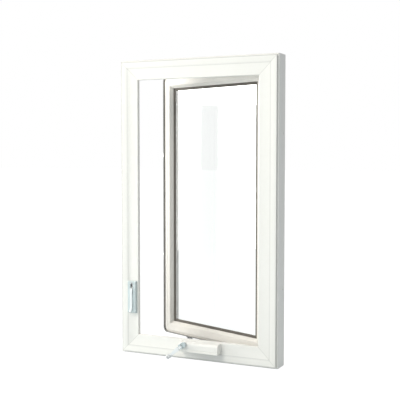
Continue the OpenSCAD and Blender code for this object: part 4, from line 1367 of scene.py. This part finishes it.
@dataclass
class Fasteners:
    """All of the window's screws."""

    finishes: Finishes
    place: SashPlace

    def build(self) -> None:
        """Builds each set of screws where the CAD has it."""
        maker = ScrewMaker(self.finishes)
        room = Vector((0.0, -1.0, 0.0))
        down = Vector((0.0, 0.0, -1.0))
        hinge_side = Vector((1.0, 0.0, 0.0))
        open_way = self.place.to_open.to_3x3()
        for node in ("operator_screws", "lock_screws"):
            maker.build(node, Body.FRAME, room)
        maker.build("guide_screws", Body.FRAME, hinge_side)
        maker.build("track_screws", Body.SASH, down)
        maker.build("keeper_screws", Body.SASH, open_way @ -hinge_side)
        maker.build("hinge_screws", Body.FRAME, -down, down)
        maker.build("sash_plate_screws", Body.SASH, down, -down)


@dataclass
class Studio:
    """Camera, lamps, plain pale floor and the world."""

    lens: float = 75.2
    sensor: float = 36.0
    place: tuple[float, float, float] = (1.26799, -2.67248, 0.73329)
    dip: float = 3.206
    turn: float = 25.380
    aim: tuple[float, float, float] = (0.0, 0.0, 0.55)
    ambient: float = 0.48
    floor_half: float = 30.0
    floor_glow: float = 1.12
    floor_share: float = 0.93
    lamps: list[tuple[str, tuple[float, float, float], float, float, Colour]] = field(
        default_factory=lambda: [
            ("key_lamp", (-1.0, -2.4, 2.9), 1.5, 57.5, (1.0, 0.955, 0.875)),
            ("side_lamp", (-2.2, -0.45, 0.8), 1.4, 41.0, (1.0, 0.98, 0.94)),
            ("fill_lamp", (-0.4, -3.0, 0.6), 1.6, 13.0, (0.86, 0.96, 1.0)),
            ("back_lamp", (-1.2, 2.4, 1.8), 1.6, 26.0, (1.0, 0.98, 0.95)),
        ]
    )

    def build(self) -> None:
        """Builds the studio."""
        scene = bpy.context.scene
        scene.view_settings.view_transform = "Standard"
        data = bpy.data.cameras.new("camera")
        data.lens = self.lens
        data.sensor_width = self.sensor
        camera = placed("camera", data)
        camera.location = self.place
        camera.rotation_euler = (math.radians(90.0 - self.dip), 0.0, math.radians(self.turn))
        scene.camera = camera
        for lamp in self.lamps:
            self._lamp(*lamp)
        self._world()
        self._floor()

    def _lamp(self, name: str, place: Sequence[float], size: float, power: float, colour: Colour) -> None:
        """Adds one soft lamp that looks at the window's middle."""
        data = bpy.data.lights.new(name, "AREA")
        data.shape, data.size = "SQUARE", size
        data.energy, data.color = power, colour
        lamp = placed(name, data)
        lamp.location = place
        lamp.rotation_euler = (Vector(self.aim) - Vector(place)).to_track_quat("-Z", "Y").to_euler()

    def _seen(self, kit: NodeKit) -> Socket:
        """One where a ray comes from the camera, a gloss or a glass."""
        path = kit.add("ShaderNodeLightPath").outputs
        first = kit.sums("MAXIMUM", path["Is Camera Ray"], path["Is Glossy Ray"])
        return kit.sums("MAXIMUM", first, path["Is Transmission Ray"])

    def _world(self) -> None:
        """A white world to look at, and a softer one to light by."""
        world = bpy.data.worlds.new("studio_world")
        world.use_nodes = True
        world.node_tree.nodes.clear()
        kit = NodeKit(world.node_tree)
        seen = self._seen(kit)
        sky = kit.blend(seen, rgba((0.95, 0.975, 1.0)), rgba((1.0, 1.0, 1.0)))
        feeds = {"Color": sky, "Strength": kit.span(seen, 0.0, 1.0, self.ambient, 1.0)}
        shade = kit.add("ShaderNodeBackground", feeds)
        kit.add("ShaderNodeOutputWorld", {"Surface": shade.outputs[0]})
        bpy.context.scene.world = world

    def _floor(self) -> None:
        """A pale floor that keeps the window's soft shadow."""
        bm = bmesh.new()
        bmesh.ops.create_grid(bm, x_segments=1, y_segments=1, size=self.floor_half)
        mesh = bpy.data.meshes.new("studio_floor")
        bm.to_mesh(mesh)
        bm.free()
        material = bpy.data.materials.new("pale_floor")
        material.use_nodes = True
        material.node_tree.nodes.clear()
        kit = NodeKit(material.node_tree)
        fleck = kit.noise(kit.place(), scale=9.0)
        pale = kit.blend(fleck, rgba((0.61, 0.66, 0.68)), rgba((0.65, 0.70, 0.72)))
        matt = kit.add("ShaderNodeBsdfDiffuse", {"Color": pale}).outputs[0]
        white = {"Color": rgba((1.0, 1.0, 1.0)), "Strength": self.floor_glow}
        glow = kit.add("ShaderNodeEmission", white).outputs[0]
        share = kit.times(self._seen(kit), self.floor_share)
        mixed = kit.add("ShaderNodeMixShader", {0: share, 1: matt, 2: glow})
        kit.add("ShaderNodeOutputMaterial", {"Surface": mixed.outputs[0]})
        mesh.materials.append(material)
        placed("studio_floor", mesh)


def wall_seam() -> Seam:
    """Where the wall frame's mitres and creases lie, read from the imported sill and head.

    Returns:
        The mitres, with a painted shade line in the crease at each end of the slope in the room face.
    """
    low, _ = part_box("sill")
    front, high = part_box("head")
    middle = ((low.x + high.x) / 2, 0.0, (low.z + high.z) / 2)
    places = [v.co for v in frame["nodes"]["head"].data.vertices]
    room_face = [high.z - p.z for p in places if p.y < front.y + HAIR]
    edge, ridge = min(room_face), max(room_face)
    valley = min(high.z - p.z for p in places if high.z - p.z > ridge + HAIR)
    depth = max(p.y for p in places if abs(high.z - p.z - valley) < HAIR)
    past_edge, reach, skin = 0.0008, 0.006, 0.0002
    # Painted shade: dark lines along the room face's outer edge and its two creases, standing in for the
    # profile's shadow lines.
    shade_creases = (
        ShadeCrease(edge + past_edge, amount=0.5, width=0.0018),
        ShadeCrease(ridge, amount=0.14, width=MM),
        ShadeCrease(valley, amount=0.38, width=MM),
    )
    half_size = ((high.x - low.x) / 2, 0.0, (high.z - low.z) / 2)
    return Seam(middle, half_size, shade_creases=shade_creases, front=min(depth, front.y + reach) + skin)


def main() -> None:
    """Builds the window's looks in order, from the wall frame to the studio."""
    logging.basicConfig(level=logging.INFO, format="%(name)s: %(message)s")
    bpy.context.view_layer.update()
    place = SashPlace()
    finishes = Finishes(wall_seam(), place.seam())
    steps = [
        WallFrame(finishes),
        Sash(finishes, place),
        InsulatingGlass(finishes, place),
        Hinges(finishes),
        Operator(finishes),
        Crank(finishes),
        SashLock(finishes),
        Fasteners(finishes, place),
        Studio(),
    ]
    for step in steps:
        step.build()
        LOG.info("built %s", type(step).__name__)


if __name__ == "__main__":
    main()
